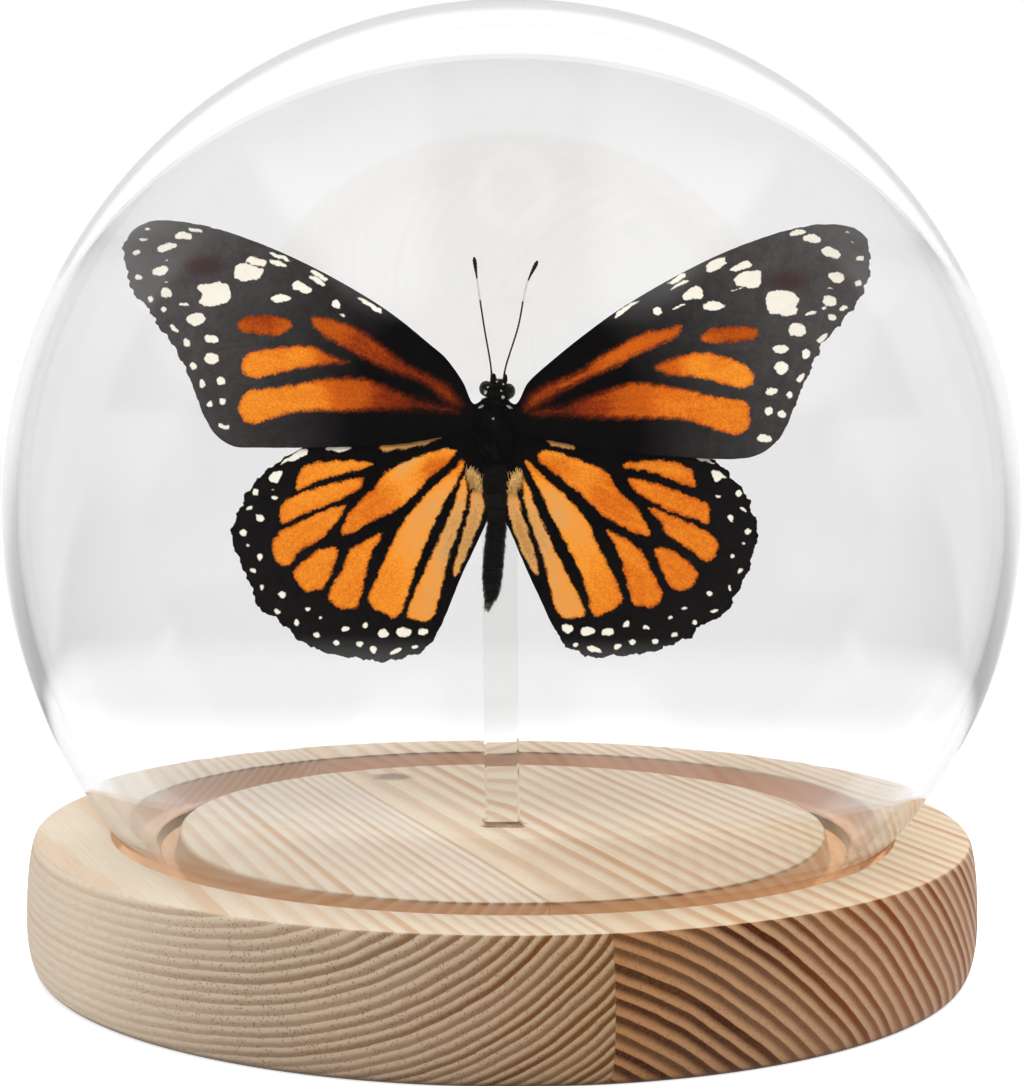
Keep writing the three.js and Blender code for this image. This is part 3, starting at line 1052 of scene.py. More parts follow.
@dataclass(frozen=True)
class Rod:
    """The square acrylic rod, which leans a degree to the left in its hole."""

    width: float = 4.4
    corner: float = 0.3
    foot_x: float = 0.1
    lean: float = math.radians(-1)
    length: float = 59.4
    depth: float = 8.0

    def build(self, effects: Effects) -> None:
        """Builds the rod.

        Args:
            effects: the node groups that the materials share.
        """
        half, cut = self.width / 2, self.corner
        flat = half - cut
        corners = [(flat, -half), (half, -flat), (half, flat), (flat, half)]
        corners += [(-x, -y) for x, y in corners]
        arrises = [(x, y, 0.05) for x, y in corners]
        loop = rounded([(*corners[-1], 0.0), *arrises, (*corners[0], 0.0)], 3)[1:-1]
        count = len(loop)
        edge = 0.12
        middle, top = self.length * 0.5, self.length
        levels = [(0.0, edge), (edge, 0.0), (middle, 0.0), (top - edge, 0.0), (top, edge)]
        rows = []
        for height, inset in levels:
            share = 1 - inset / half
            rows += [(x * share, y * share, height) for x, y in loop]
        faces = rings_joined(len(levels), count)
        faces.append(list(range(count - 1, -1, -1)))
        faces.append([(len(levels) - 1) * count + s for s in range(count)])
        across, deep, up = np.array(rows).T
        foot_z = BASE_TOP - self.depth
        lift = half * math.sin(abs(self.lean))
        x = across * math.cos(self.lean) + up * math.sin(self.lean) + self.foot_x
        z = -across * math.sin(self.lean) + up * math.cos(self.lean) + foot_z + lift
        acrylic = ClearCoat("Clear acrylic", 1.49, "#fdfdfc", 0.15)
        piece = Stock("acrylic_rod_bar", Slot.ACRYLIC, [acrylic.make(effects)], ("acrylic_rod",))
        piece.add(np.stack([x, deep, z], 1), faces)
        piece.build(crease=20)


# --- Wings ---


class Layer(Enum):
    """Which pair a wing belongs to, with the depth of its middle layer in the butterfly's coordinates."""

    FORE = -5.95
    HIND = -5.15


@dataclass(frozen=True)
class Markings:
    """A wing's outline and markings, in millimetres right of and above the thorax's middle.

    A spot is its middle, its two half widths and its turn in degrees. A tone is a place and the colour there:
    0 is the darkest brown, 0.6 is orange and 1.2 is a dull tan.
    """

    outline: tuple[Point, ...]
    cells: tuple[tuple[Point, ...], ...]
    patches: tuple[tuple[Point, ...], ...]
    spots: tuple[tuple[float, float, float, float, float], ...]
    tones: tuple[Place, ...]
    smudges: tuple[tuple[float, float, float, float, float], ...] = ()


def depth_inside(points: Array, loop: Array) -> Array:
    """How far points lie inside a loop. Points outside it get a negative depth.

    Args:
        points: places across and up, one to a row.
        loop: the loop's corners.

    Returns:
        The depth of each point.
    """
    ends = np.roll(loop, -1, axis=0)
    nearest = np.full(len(points), np.inf)
    inside = np.zeros(len(points), bool)
    for start, end in zip(loop, ends):
        span = end - start
        share = np.clip(((points - start) @ span) / max(float(span @ span), 1e-12), 0, 1)
        nearest = np.minimum(nearest, ((points - start - share[:, None] * span) ** 2).sum(1))
        crosses = (start[1] > points[:, 1]) != (end[1] > points[:, 1])
        rise = span[1] if abs(span[1]) > 1e-12 else 1e-12
        inside ^= crosses & (points[:, 0] < start[0] + (points[:, 1] - start[1]) / rise * span[0])
    return np.where(inside, 1, -1) * np.sqrt(nearest)


def wobbled(points: Array, size: float) -> Array:
    """Places moved by small uneven amounts, so that markings drawn there get uneven edges."""
    x, z = points.T
    across = np.sin(2.9 * z + 1.3 * np.sin(1.7 * x)) + 0.7 * np.sin(5.1 * x + 3.7 * z + 2)
    across = across + 0.6 * np.sin(9.7 * z - 4.1 * x)
    up = np.sin(3.1 * x + 1.1 * np.sin(1.9 * z) + 4) + 0.7 * np.sin(4.7 * z - 3.3 * x)
    up = up + 0.6 * np.sin(10.3 * x + 5.3 * z)
    return points + size * np.stack([across, up], 1)


def spot_depth(points: Array, spot: Sequence[float]) -> Array:
    """How far points lie inside an oval spot. Points outside it get a negative depth."""
    x, z, wide, high, turn = spot
    cosine, sine = math.cos(math.radians(turn)), math.sin(math.radians(turn))
    along_spot = (points[:, 0] - x) * cosine + (points[:, 1] - z) * sine
    over_spot = (points[:, 1] - z) * cosine - (points[:, 0] - x) * sine
    ratio = np.sqrt((along_spot / wide) ** 2 + (over_spot / high) ** 2) + 1e-6
    slope = np.sqrt((along_spot / wide**2) ** 2 + (over_spot / high**2) ** 2) + 1e-6
    return (1 - ratio) * np.minimum(ratio / slope, max(wide, high) * 3)


@dataclass(frozen=True)
class WingCoat:
    """A wing's scales: black with orange cells and pale spots on one face of the wing, and a painted sheen
    that greys the black towards the forewing's tip.
    """

    name: str
    root: Point
    darkest: str
    groove_burn_and_light: str
    orange: str
    bright: str
    tan: str
    dull: str
    black: str
    tip_sheen_grey: str
    pale: str
    streak: float

    def make(self, effects: Effects) -> Material:
        """Makes the material.

        Args:
            effects: the node groups that the materials share.

        Returns:
            The material.
        """
        material, tree, shader = Coat(self.name).start()
        point = place(tree)
        grains = effects.scales.put(tree, Place=point)
        grain, cloud = grains["Grain"], grains["Cloud"]
        across = along(tree, point, (1, 0, 0)) - (BUTTERFLY_PLACE[0] + self.root[0])
        up = along(tree, point, (0, 0, 1)) - (BUTTERFLY_PLACE[2] + self.root[1])
        reach = distance(across, up)
        turn = up.math("ARCTAN2", across)
        rays = noise(tree, joined(tree, turn * 26.0, reach * 0.1, 0.0), 1, 3, 0.6)
        fine_rays = noise(tree, joined(tree, turn * 90.0, reach * 0.25, 0.0), 1, 2, 0.6)
        tone = mask(tree, "tone") + (rays - 0.5) * self.streak + (grain - 0.5) * 0.26 + (cloud - 0.5) * 0.1
        depth = mask(tree, "cell")
        tone = tone + depth.smooth(0.0, 0.5, -0.1, 0)
        ramp = tree.nodes.new("ShaderNodeValToRGB")
        stops = (0.0, 0.22, 0.5, 0.7, 0.86, 1.0)
        colours = (self.darkest, self.groove_burn_and_light, self.orange, self.bright, self.tan, self.dull)
        while len(ramp.color_ramp.elements) < len(stops):
            ramp.color_ramp.elements.new(0.5)
        for element, at, code in zip(ramp.color_ramp.elements, stops, colours):
            element.position = at
            element.color = linear(code)
        plug(tree, ramp.inputs["Fac"], tone / 1.25)
        colour = Wire(tree, ramp.outputs["Color"])
        # Towards the forewing's tip the black turns grey, with more pale flecks: a painted sheen on the black
        # scales.
        tip = mask(tree, "tip")
        ground = mixed(tree, tip * (0.5 + cloud), self.black, self.tip_sheen_grey)
        flecked = mixed(tree, grain.smooth(0.55, 0.95) * (tip * 0.16 + 0.015), ground, "#8a7a68")
        uneven = grain * 0.6 + fine_rays * 0.4
        inside = effects.edge.put(tree, Depth=depth, Grain=uneven, Fuzz=0.5, Soft=mask(tree, "soft"))["Mask"]
        dusk = mask(tree, "dusk") * (0.6 + fine_rays * 0.8)
        glowing = mixed(tree, inside * (1 - dusk.math("MINIMUM", 1.0)), flecked, colour)
        smudged = mixed(tree, mask(tree, "smudge") * (0.45 + cloud * 0.6), glowing, "#3d2420")
        spot = mask(tree, "spot") - 0.05
        white = effects.edge.put(tree, Depth=spot, Grain=grain, Fuzz=0.14, Soft=0.08)["Mask"]
        chalk = mixed(tree, (cloud - 0.3) * 0.5, self.pale, "#d9c9b4")
        spotted = mixed(tree, white, smudged, chalk)
        Coat.paint(tree, shader, spotted, 0.62 + grain * 0.2, 0.03)
        Coat.bump(tree, shader, grain * 0.7 + fine_rays * 0.3, 0.05)
        return material


@dataclass(frozen=True)
class Wing:
    """One wing: a thin veined membrane with a finish on each face."""

    name: str
    layer: Layer
    markings: Markings
    seed: int
    thickness: float = 0.17
    front_pitch: float = 0.16
    back_pitch: float = 0.26
    vein_height: float = 0.07

    def sheet(self, loop: Array, pitch: float) -> tuple[Array, Array]:
        """Fills a loop with triangles.

        Args:
            loop: the wing's margin.
            pitch: the triangles' size.

        Returns:
            The points, the margin's own first, and the triangles.
        """
        low, high = loop.min(0), loop.max(0)
        rise = pitch * math.sqrt(3) / 2
        rows = np.arange(low[1], high[1], rise)
        grid = []
        for i, z in enumerate(rows):
            x = np.arange(low[0] + (i % 2) * pitch / 2, high[0], pitch)
            grid.append(np.stack([x, np.full(len(x), z)], 1))
        inner = np.vstack(grid)
        inner = inner[depth_inside(inner, loop[:: max(1, len(loop) // 300)]) > -pitch]
        inner = inner[depth_inside(inner, loop) > pitch * 0.45]
        spots = [Vector(p) for p in np.vstack([loop, inner]).tolist()]
        done = delaunay_2d_cdt(spots, [], [list(range(len(loop)))], 1, 1e-6, False)
        points, triangles = np.array([tuple(p) for p in done[0]]), np.array([list(face) for face in done[2]])
        doubtful = np.nonzero((triangles < len(loop)).all(1))[0]
        outside = depth_inside(points[triangles[doubtful]].mean(1), loop) < 0
        return points, np.delete(triangles, doubtful[outside], axis=0)

    def wave(self, points: Array) -> Array:
        """How far the membrane lies off its flat layer: gentle waves that die out at the root."""
        reach = np.hypot(points[:, 0], points[:, 1])
        turn = np.arctan2(points[:, 1], np.abs(points[:, 0]))
        rise = np.clip(reach / 25, 0, 1)
        waves = 0.14 * np.sin(turn * 9 + self.seed) + 0.1 * np.sin(reach * 0.24 + self.seed * 2 + turn * 3)
        return rise * waves

    def margin(self) -> Array:
        """The wing's margin, a little ragged.

        Returns:
            The margin's points.
        """
        loop = smooth_line(self.markings.outline, True, 0.14)
        dice = np.random.default_rng(self.seed)
        count = len(loop)
        reach = np.hypot(loop[:, 0], loop[:, 1])
        leading = (np.arange(count) < reach.argmax()) & (self.layer is Layer.FORE)
        free = np.interp(reach / reach.max(), (0.66, 0.8), (0.08, 1)) * np.where(leading, 0.2, 1.0)
        rough = np.zeros(count)
        for width, size in ((3, 0.11), (13, 0.42)):
            rough += size * rough_ring(dice, count, width)
        ahead = unit(np.roll(loop, -1, axis=0) - np.roll(loop, 1, axis=0))
        run = np.cumsum(np.linalg.norm(np.roll(loop, -1, axis=0) - loop, axis=1))
        rough += 0.22 * np.abs(np.sin(run * math.pi / 2.3))
        away = np.stack([ahead[:, 1], -ahead[:, 0]], 1)
        return loop + away * (rough * free)[:, None]

    def values(self, points: Array) -> tuple[dict[str, Array], Array]:
        """What the finish needs at each point, and the height of the veins there.

        Args:
            points: places across and up, one to a row.

        Returns:
            The masks by name, and the veins' height from 0 to 1.
        """
        marks = self.markings
        moved = wobbled(points, 0.06)
        cells_in = np.stack([depth_inside(moved, smooth_line(cell, True, 0.5)) for cell in marks.cells])
        patches = [depth_inside(moved, smooth_line(patch, True, 0.3)) for patch in marks.patches]
        spots = [spot_depth(moved, spot) for spot in marks.spots]
        tones = np.array(marks.tones)
        away = ((points[:, None] - tones[None, :, :2]) ** 2).sum(2) + 5.0
        weight = away**-2.2
        tone = (weight * tones[None, :, 2]).sum(1) / weight.sum(1)
        smudge = np.zeros(len(points))
        for x, z, wide, high, strength in marks.smudges:
            away = ((points[:, 0] - x) / wide) ** 2 + ((points[:, 1] - z) / high) ** 2
            smudge = np.maximum(smudge, strength * np.exp(-(away**1.5)))
        ordered = np.sort(cells_in, axis=0)
        between = ordered[-1] - ordered[-2]
        veins = np.exp(-((between / 0.35) ** 2)) * (ordered[-1] < 0.15)
        reach = np.hypot(points[:, 0], points[:, 1])
        fore = self.layer is Layer.FORE
        masks = {
            "cell": np.clip(cells_in.max(0) - (0.03 if fore else 0.06), -2, 3),
            "spot": np.clip(np.max(patches + spots, axis=0), -2, 2),
            "tone": tone,
            "smudge": smudge,
            # tip: how strongly the painted sheen greys the black, growing outwards from the root, mostly on
            # the forewings.
            "tip": np.clip((reach - 18) / 26, 0, 1) * (1.0 if fore else 0.12),
            "soft": np.interp(reach, (6, 30), (0.75, 0.16)) if fore else np.full(len(points), 0.17),
            "dusk": np.clip((8 - reach) / 8, 0, 1) * fore,
        }
        return masks, veins

    def build(self, upper: Material, under: Material) -> None:
        """Builds the wing from its two faces and the thin edge between them.

        Args:
            upper: the upper face's material.
            under: the under face's material.
        """
        loop = self.margin()
        piece = Stock(f"{self.name}_membrane", Slot.WING, [upper, under], (self.name,))
        half = self.thickness / 2
        starts = []
        for face, pitch in ((-1, self.front_pitch), (1, self.back_pitch)):
            points, triangles = self.sheet(loop, pitch)
            masks, veins = self.values(points)
            inset = np.clip((half - np.maximum(depth_inside(points, loop[::2]), 0)) / self.thickness, 0, 0.5)
            off_middle = half * (1 - inset) + veins * self.vein_height
            y = self.layer.value + self.wave(points) + face * off_middle
            starts.append(piece.count)
            if face > 0:
                triangles = triangles[:, ::-1]
            rows = np.stack([points[:, 0], y, points[:, 1]], 1)
            piece.mount((rows, triangles.tolist()), coat=0 if face < 0 else 1, **masks)
        count = len(loop)
        front, back = starts
        for s in range(count):
            t = (s + 1) % count
            piece.faces.append([front + s, back + s, back + t, front + t])
        piece.coat_of.extend([0] * count)
        piece.build()


# The four wings' markings.
FOREWING_LEFT = Markings(
    outline=(
        (-1.1, 4.3), (-2.6, 3.6), (-4, 6.3), (-6.2, 9.3), (-8.1, 10.9), (-11.8, 13.9), (-15.5, 16.4),
        (-22.6, 20.3), (-30.3, 23.6), (-37, 25.5), (-40.7, 25.9), (-43.2, 25.6), (-44.9, 24.6),
        (-45.8, 23.1), (-45.9, 22.2), (-45.6, 21.2), (-45.5, 20.3), (-45.4, 19.4), (-45, 18.6),
        (-44.6, 17.3), (-43.8, 16.1), (-43, 15.3), (-42.4, 14.7), (-41.9, 13.8), (-41.3, 12.7),
        (-40.4, 11.7), (-39.8, 10.9), (-39.2, 10), (-38.9, 9), (-38.3, 8), (-38, 7.1), (-37.5, 6.1),
        (-37.1, 4.7), (-36.6, 3.4), (-36.1, 2.2), (-35.5, 1), (-34.9, 0), (-34.2, -0.8), (-33.3, -1.4),
        (-32.2, -1.9), (-29.1, -2), (-17.7, -1.8), (-11.7, -1.4), (-6.8, -0.6), (-3.1, 0.1), (-1.1, 0.6),
    ),
    cells=(
        # median upper
        ((-31.4, 8.3), (-31, 9.2), (-30.3, 9.7), (-27.2, 10.3), (-24.1, 10.6), (-22.6, 10.5), (-18.9, 8.8),
         (-17.9, 8.7), (-23.5, 8), (-30.1, 6.6), (-30.9, 7.1), (-31.3, 7.7)),
        # median lower
        ((-31.7, 2.9), (-31.5, 3.9), (-31, 4.6), (-30.1, 5.1), (-26.6, 5.5), (-20.4, 6.6), (-16.7, 6.6),
         (-15.5, 6.4), (-11.8, 5), (-7.5, 3.6), (-4.5, 2.7), (-7.6, 2.7), (-12, 2.8), (-15.5, 2.8),
         (-19.8, 2.6), (-21.7, 2.7), (-25.4, 2.3), (-30.3, 0.9), (-31.1, 1.3), (-31.5, 2.2)),
        # discal
        ((-22.5, 14.1), (-18, 13.2), (-16.7, 12.6), (-10.5, 8.2), (-6.8, 6.4), (-5.6, 5.4), (-4.1, 3.3),
         (-5, 3.5), (-6.2, 4.1), (-8.7, 6), (-10.3, 6.8), (-13, 7.6), (-16.7, 9.4), (-21.7, 12.3),
         (-22.6, 13.2)),
        # brown patch
        ((-31.8, 13.2), (-31.1, 14), (-29.3, 14.3), (-27.2, 14.3), (-25.1, 13.5), (-25.2, 12.8),
         (-26.6, 11.9), (-28.8, 11.9), (-30.8, 12.2), (-31.6, 12.5)),
    ),
    patches=(
        ((-30.9, 20.9), (-30.3, 21.5), (-28.3, 20.9), (-28.4, 20.3), (-29.3, 20.4)),
        ((-32, 20.4), (-31.6, 20.7), (-28.8, 20.1), (-28.5, 19.8), (-29.4, 18.7), (-30.3, 18.5),
         (-32.1, 18.7), (-32.2, 19.1)),
        ((-36.8, 17.6), (-36.4, 18), (-34.7, 18.3), (-33, 18.2), (-32.7, 17.7), (-32.7, 16.4),
         (-33.2, 15.8), (-34.6, 15.4), (-36.2, 15.5), (-36.6, 16), (-36.2, 16.8)),
        ((-25.1, 18.3), (-24.6, 18.6), (-23.5, 18.2), (-22.6, 17.6), (-22.8, 17.1), (-23.7, 17.1),
         (-24.9, 17.6)),
        ((-22.9, 19.8), (-22.4, 19.9), (-20.7, 18.8), (-21, 18.5)),
        ((-23.1, 19.2), (-22.6, 19.3), (-21, 18.1), (-21.3, 17.9)),
        ((-17.2, 16.8), (-16, 16.3), (-14, 15.1), (-14.1, 14.6), (-15.5, 15.3)),
    ),
    spots=(
        (-42.9, 24.9, 0.5, 0.19, -20), (-43.4, 23.6, 0.63, 0.19, 0), (-44.3, 21.9, 0.54, 0.33, 10),
        (-44, 18.9, 0.5, 0.38, 0), (-42.5, 16.2, 0.44, 0.31, -45), (-40.9, 15, 0.44, 0.38, 0),
        (-39.6, 12.6, 0.63, 0.31, -45), (-38.1, 10.9, 0.44, 0.56, 0), (-37.3, 8.1, 0.56, 0.38, -45),
        (-36.2, 5.8, 0.38, 0.56, 0), (-35.3, 3.4, 0.38, 0.48, 0), (-33.8, 0.7, 0.4, 0.33, 0),
        (-33.2, 0.5, 0.45, 0.3, 0), (-36.9, 24.7, 0.88, 0.28, -15), (-38.4, 24, 1.07, 0.5, 0),
        (-40.5, 22.6, 1.25, 0.5, 15), (-40.6, 21, 0.25, 0.15, 0), (-41.3, 19.7, 1.13, 0.56, 15),
        (-40.6, 18.3, 0.25, 0.15, 0), (-40.6, 17, 0.75, 0.66, 0), (-38.4, 15.6, 0.63, 0.23, -15),
        (-36.9, 13.8, 1.19, 0.82, 0), (-35, 11.4, 0.94, 0.56, -10), (-35, 9, 0.88, 0.75, 0),
        (-33.9, 6.2, 0.56, 0.56, 0), (-33.7, 3.7, 0.44, 0.44, 0), (-26.6, 21.5, 1.38, 0.28, -20),
        (-26.8, 20.7, 1.25, 0.33, -20), (-26.5, 16.4, 1.25, 0.53, 0), (-19.6, 15.7, 0.53, 0.58, 0),
        (-18.9, 14.4, 0.38, 0.15, -35),
    ),
    tones=(
        (-28.6, 13.2, 0.36), (-29, 9, 0.8), (-24, 9.6, 0.78), (-19.5, 8.4, 0.42), (-29.5, 3.4, 0.8),
        (-23, 4.3, 0.78), (-17, 5, 0.5), (-13.2, 4.2, 0.2), (-9, 3.4, 0.06), (-21, 13, 0.46),
        (-16, 10.6, 0.3), (-10, 7.3, 0.2), (-5.5, 4.6, 0.24),
    ),
    smudges=(
        (-35.8, 20.3, 2.4, 1.3, 0.9),
    ),
)

FOREWING_RIGHT = Markings(
    outline=(
        (1, 4.4), (2.5, 3.6), (4, 6.2), (5.5, 7.7), (7, 9), (10.4, 11.8), (15.3, 15.4), (23.3, 20.1),
        (30.6, 23.5), (37.3, 25.6), (40.4, 26), (43.5, 25.7), (45.1, 24.9), (46, 23.4), (46.2, 21.9),
        (45.9, 19.2), (45.1, 17), (44.3, 15.5), (42.6, 13.6), (39.6, 9.6), (37.7, 5.1), (35.8, 0.5),
        (34.1, -1.5), (32.2, -2.6), (29.8, -3), (26.8, -3), (21.7, -2.7), (14.3, -2.1), (6.9, -0.9),
        (3.1, -0.1), (1, 0.6),
    ),
    cells=(
        # median upper
        ((32, 7.2), (31, 8.5), (30, 9.1), (25.9, 10.1), (23.3, 9.8), (19.7, 8.2), (20.6, 7.7), (21.8, 7.3),
         (24.9, 7.1), (29.6, 5.9), (30.9, 5.8), (31.6, 6.3)),
        # median lower
        ((31.5, 2.1), (31.4, 3.3), (31, 4.1), (30.3, 4.3), (26.6, 4.8), (24.1, 5.4), (17.9, 6.3),
         (16.7, 6.2), (14.4, 5.5), (11.7, 4.6), (8, 3.3), (4.5, 2.5), (7.5, 2.2), (14.2, 2), (21.6, 2),
         (24.1, 1.7), (29.7, 0), (30.6, 0.2), (31.3, 0.9)),
        # discal
        ((22.9, 13.4), (20.3, 12.8), (19, 12.7), (15.4, 10.9), (11.7, 8.6), (10.5, 7.6), (9.2, 7),
         (6.8, 6.1), (5.5, 5.4), (4.3, 4.4), (3.7, 3.4), (3.7, 2.9), (5.6, 3.7), (10.5, 6.5), (15.4, 8.7),
         (16.6, 9.4), (22.6, 12.4)),
        # brown patch
        ((25.3, 11.9), (26, 12.8), (27.9, 13.3), (30.6, 13.4), (32.2, 13.1), (32.3, 12.1), (30.9, 11.6),
         (27.9, 11.3), (26.1, 11.3)),
    ),
    patches=(
        ((28.7, 20.3), (29.4, 20.9), (30.9, 21.4), (31.4, 21.2), (31.5, 20.9), (29.4, 20.1)),
        ((29.2, 19.1), (29.8, 19.8), (32.2, 20.3), (32.6, 20.1), (32.6, 19.1), (32.5, 18.2), (31.3, 18.1),
         (30.2, 18.2), (29.4, 18.7)),
        ((25.8, 20.8), (26.6, 21.4), (28.3, 21.9), (28, 21.4), (28.4, 21.1), (27.6, 20.5), (26.2, 19.9)),
        ((33.2, 17.1), (33.5, 17.6), (34.4, 17.8), (36, 17.8), (37, 17.3), (37.4, 16.8), (37.3, 16.3),
         (37, 15.9), (37.3, 15.5), (37, 14.8), (36.3, 14.7), (34.8, 14.8), (33.7, 15.1), (33.3, 16)),
        ((25.5, 15.9), (26.1, 16.4), (27.4, 16.4), (28.4, 15.9), (27.9, 15.6), (26.8, 15.2), (25.9, 15.4)),
        ((22.9, 16.7), (23.2, 17.4), (24.2, 18.1), (25.3, 18.2), (25.5, 17.6), (25.3, 16.8), (24.3, 16.6)),
        ((21.1, 18.5), (21.7, 18.5), (23.3, 19.4), (23.3, 19.9), (22.9, 19.8)),
        ((21.4, 17.7), (21.7, 18.2), (23.3, 19), (23.7, 18.9), (23.2, 18.5)),
        ((14.5, 14.3), (14.8, 14.9), (16.3, 16), (17.8, 16.5), (14.8, 14.3)),
    ),
    spots=(
        (37, 24.9, 1, 0.38, 15), (38.8, 24.2, 1.13, 0.56, -5), (41.2, 22.5, 1.25, 0.63, -18),
        (43.2, 25, 0.38, 0.15, 0), (43.7, 23.8, 0.25, 0.13, -20), (44.8, 21.8, 0.56, 0.35, 0),
        (41.9, 19.5, 1, 0.69, -15), (44.6, 18.8, 0.44, 0.41, 0), (41.1, 18.1, 0.38, 0.13, 0),
        (41.1, 16.6, 0.88, 0.75, 0), (40.5, 15.7, 0.31, 0.2, 0), (42.9, 15.7, 0.56, 0.31, 20),
        (41.5, 14.6, 0.56, 0.44, 0), (38.8, 15, 0.75, 0.25, 15), (37.2, 13, 1.13, 0.88, 0),
        (40.3, 12, 0.75, 0.4, 45), (35.2, 10.6, 1, 0.56, 5), (38.3, 10, 0.54, 0.6, 0),
        (35.3, 8.3, 0.88, 0.82, 0), (37.7, 7.1, 0.6, 0.38, 50), (34.1, 5.4, 0.75, 0.53, 0),
        (36.4, 5, 0.41, 0.5, 0), (33.8, 3, 0.48, 0.53, 0), (35.5, 2.6, 0.54, 0.5, 0),
        (33.3, -0.4, 0.94, 0.54, 0), (19.9, 15.2, 0.53, 0.58, 0), (22.5, 15.7, 0.88, 0.19, 20),
        (29.7, 17.9, 0.88, 0.11, 12),
    ),
    tones=(
        (29, 12.4, 0.4), (30, 7.6, 0.84), (25, 8.6, 0.82), (21, 8.2, 0.5), (29.5, 2.4, 0.72),
        (22, 3.8, 0.7), (16.5, 4, 0.5), (12.5, 3.7, 0.3), (8.5, 2.9, 0.06), (21, 12.6, 0.56),
        (15.4, 9.8, 0.56), (9.5, 6.7, 0.44), (5, 4.3, 0.34),
    ),
    smudges=(
        (36, 19, 2.6, 1.3, 0.9),
    ),
)

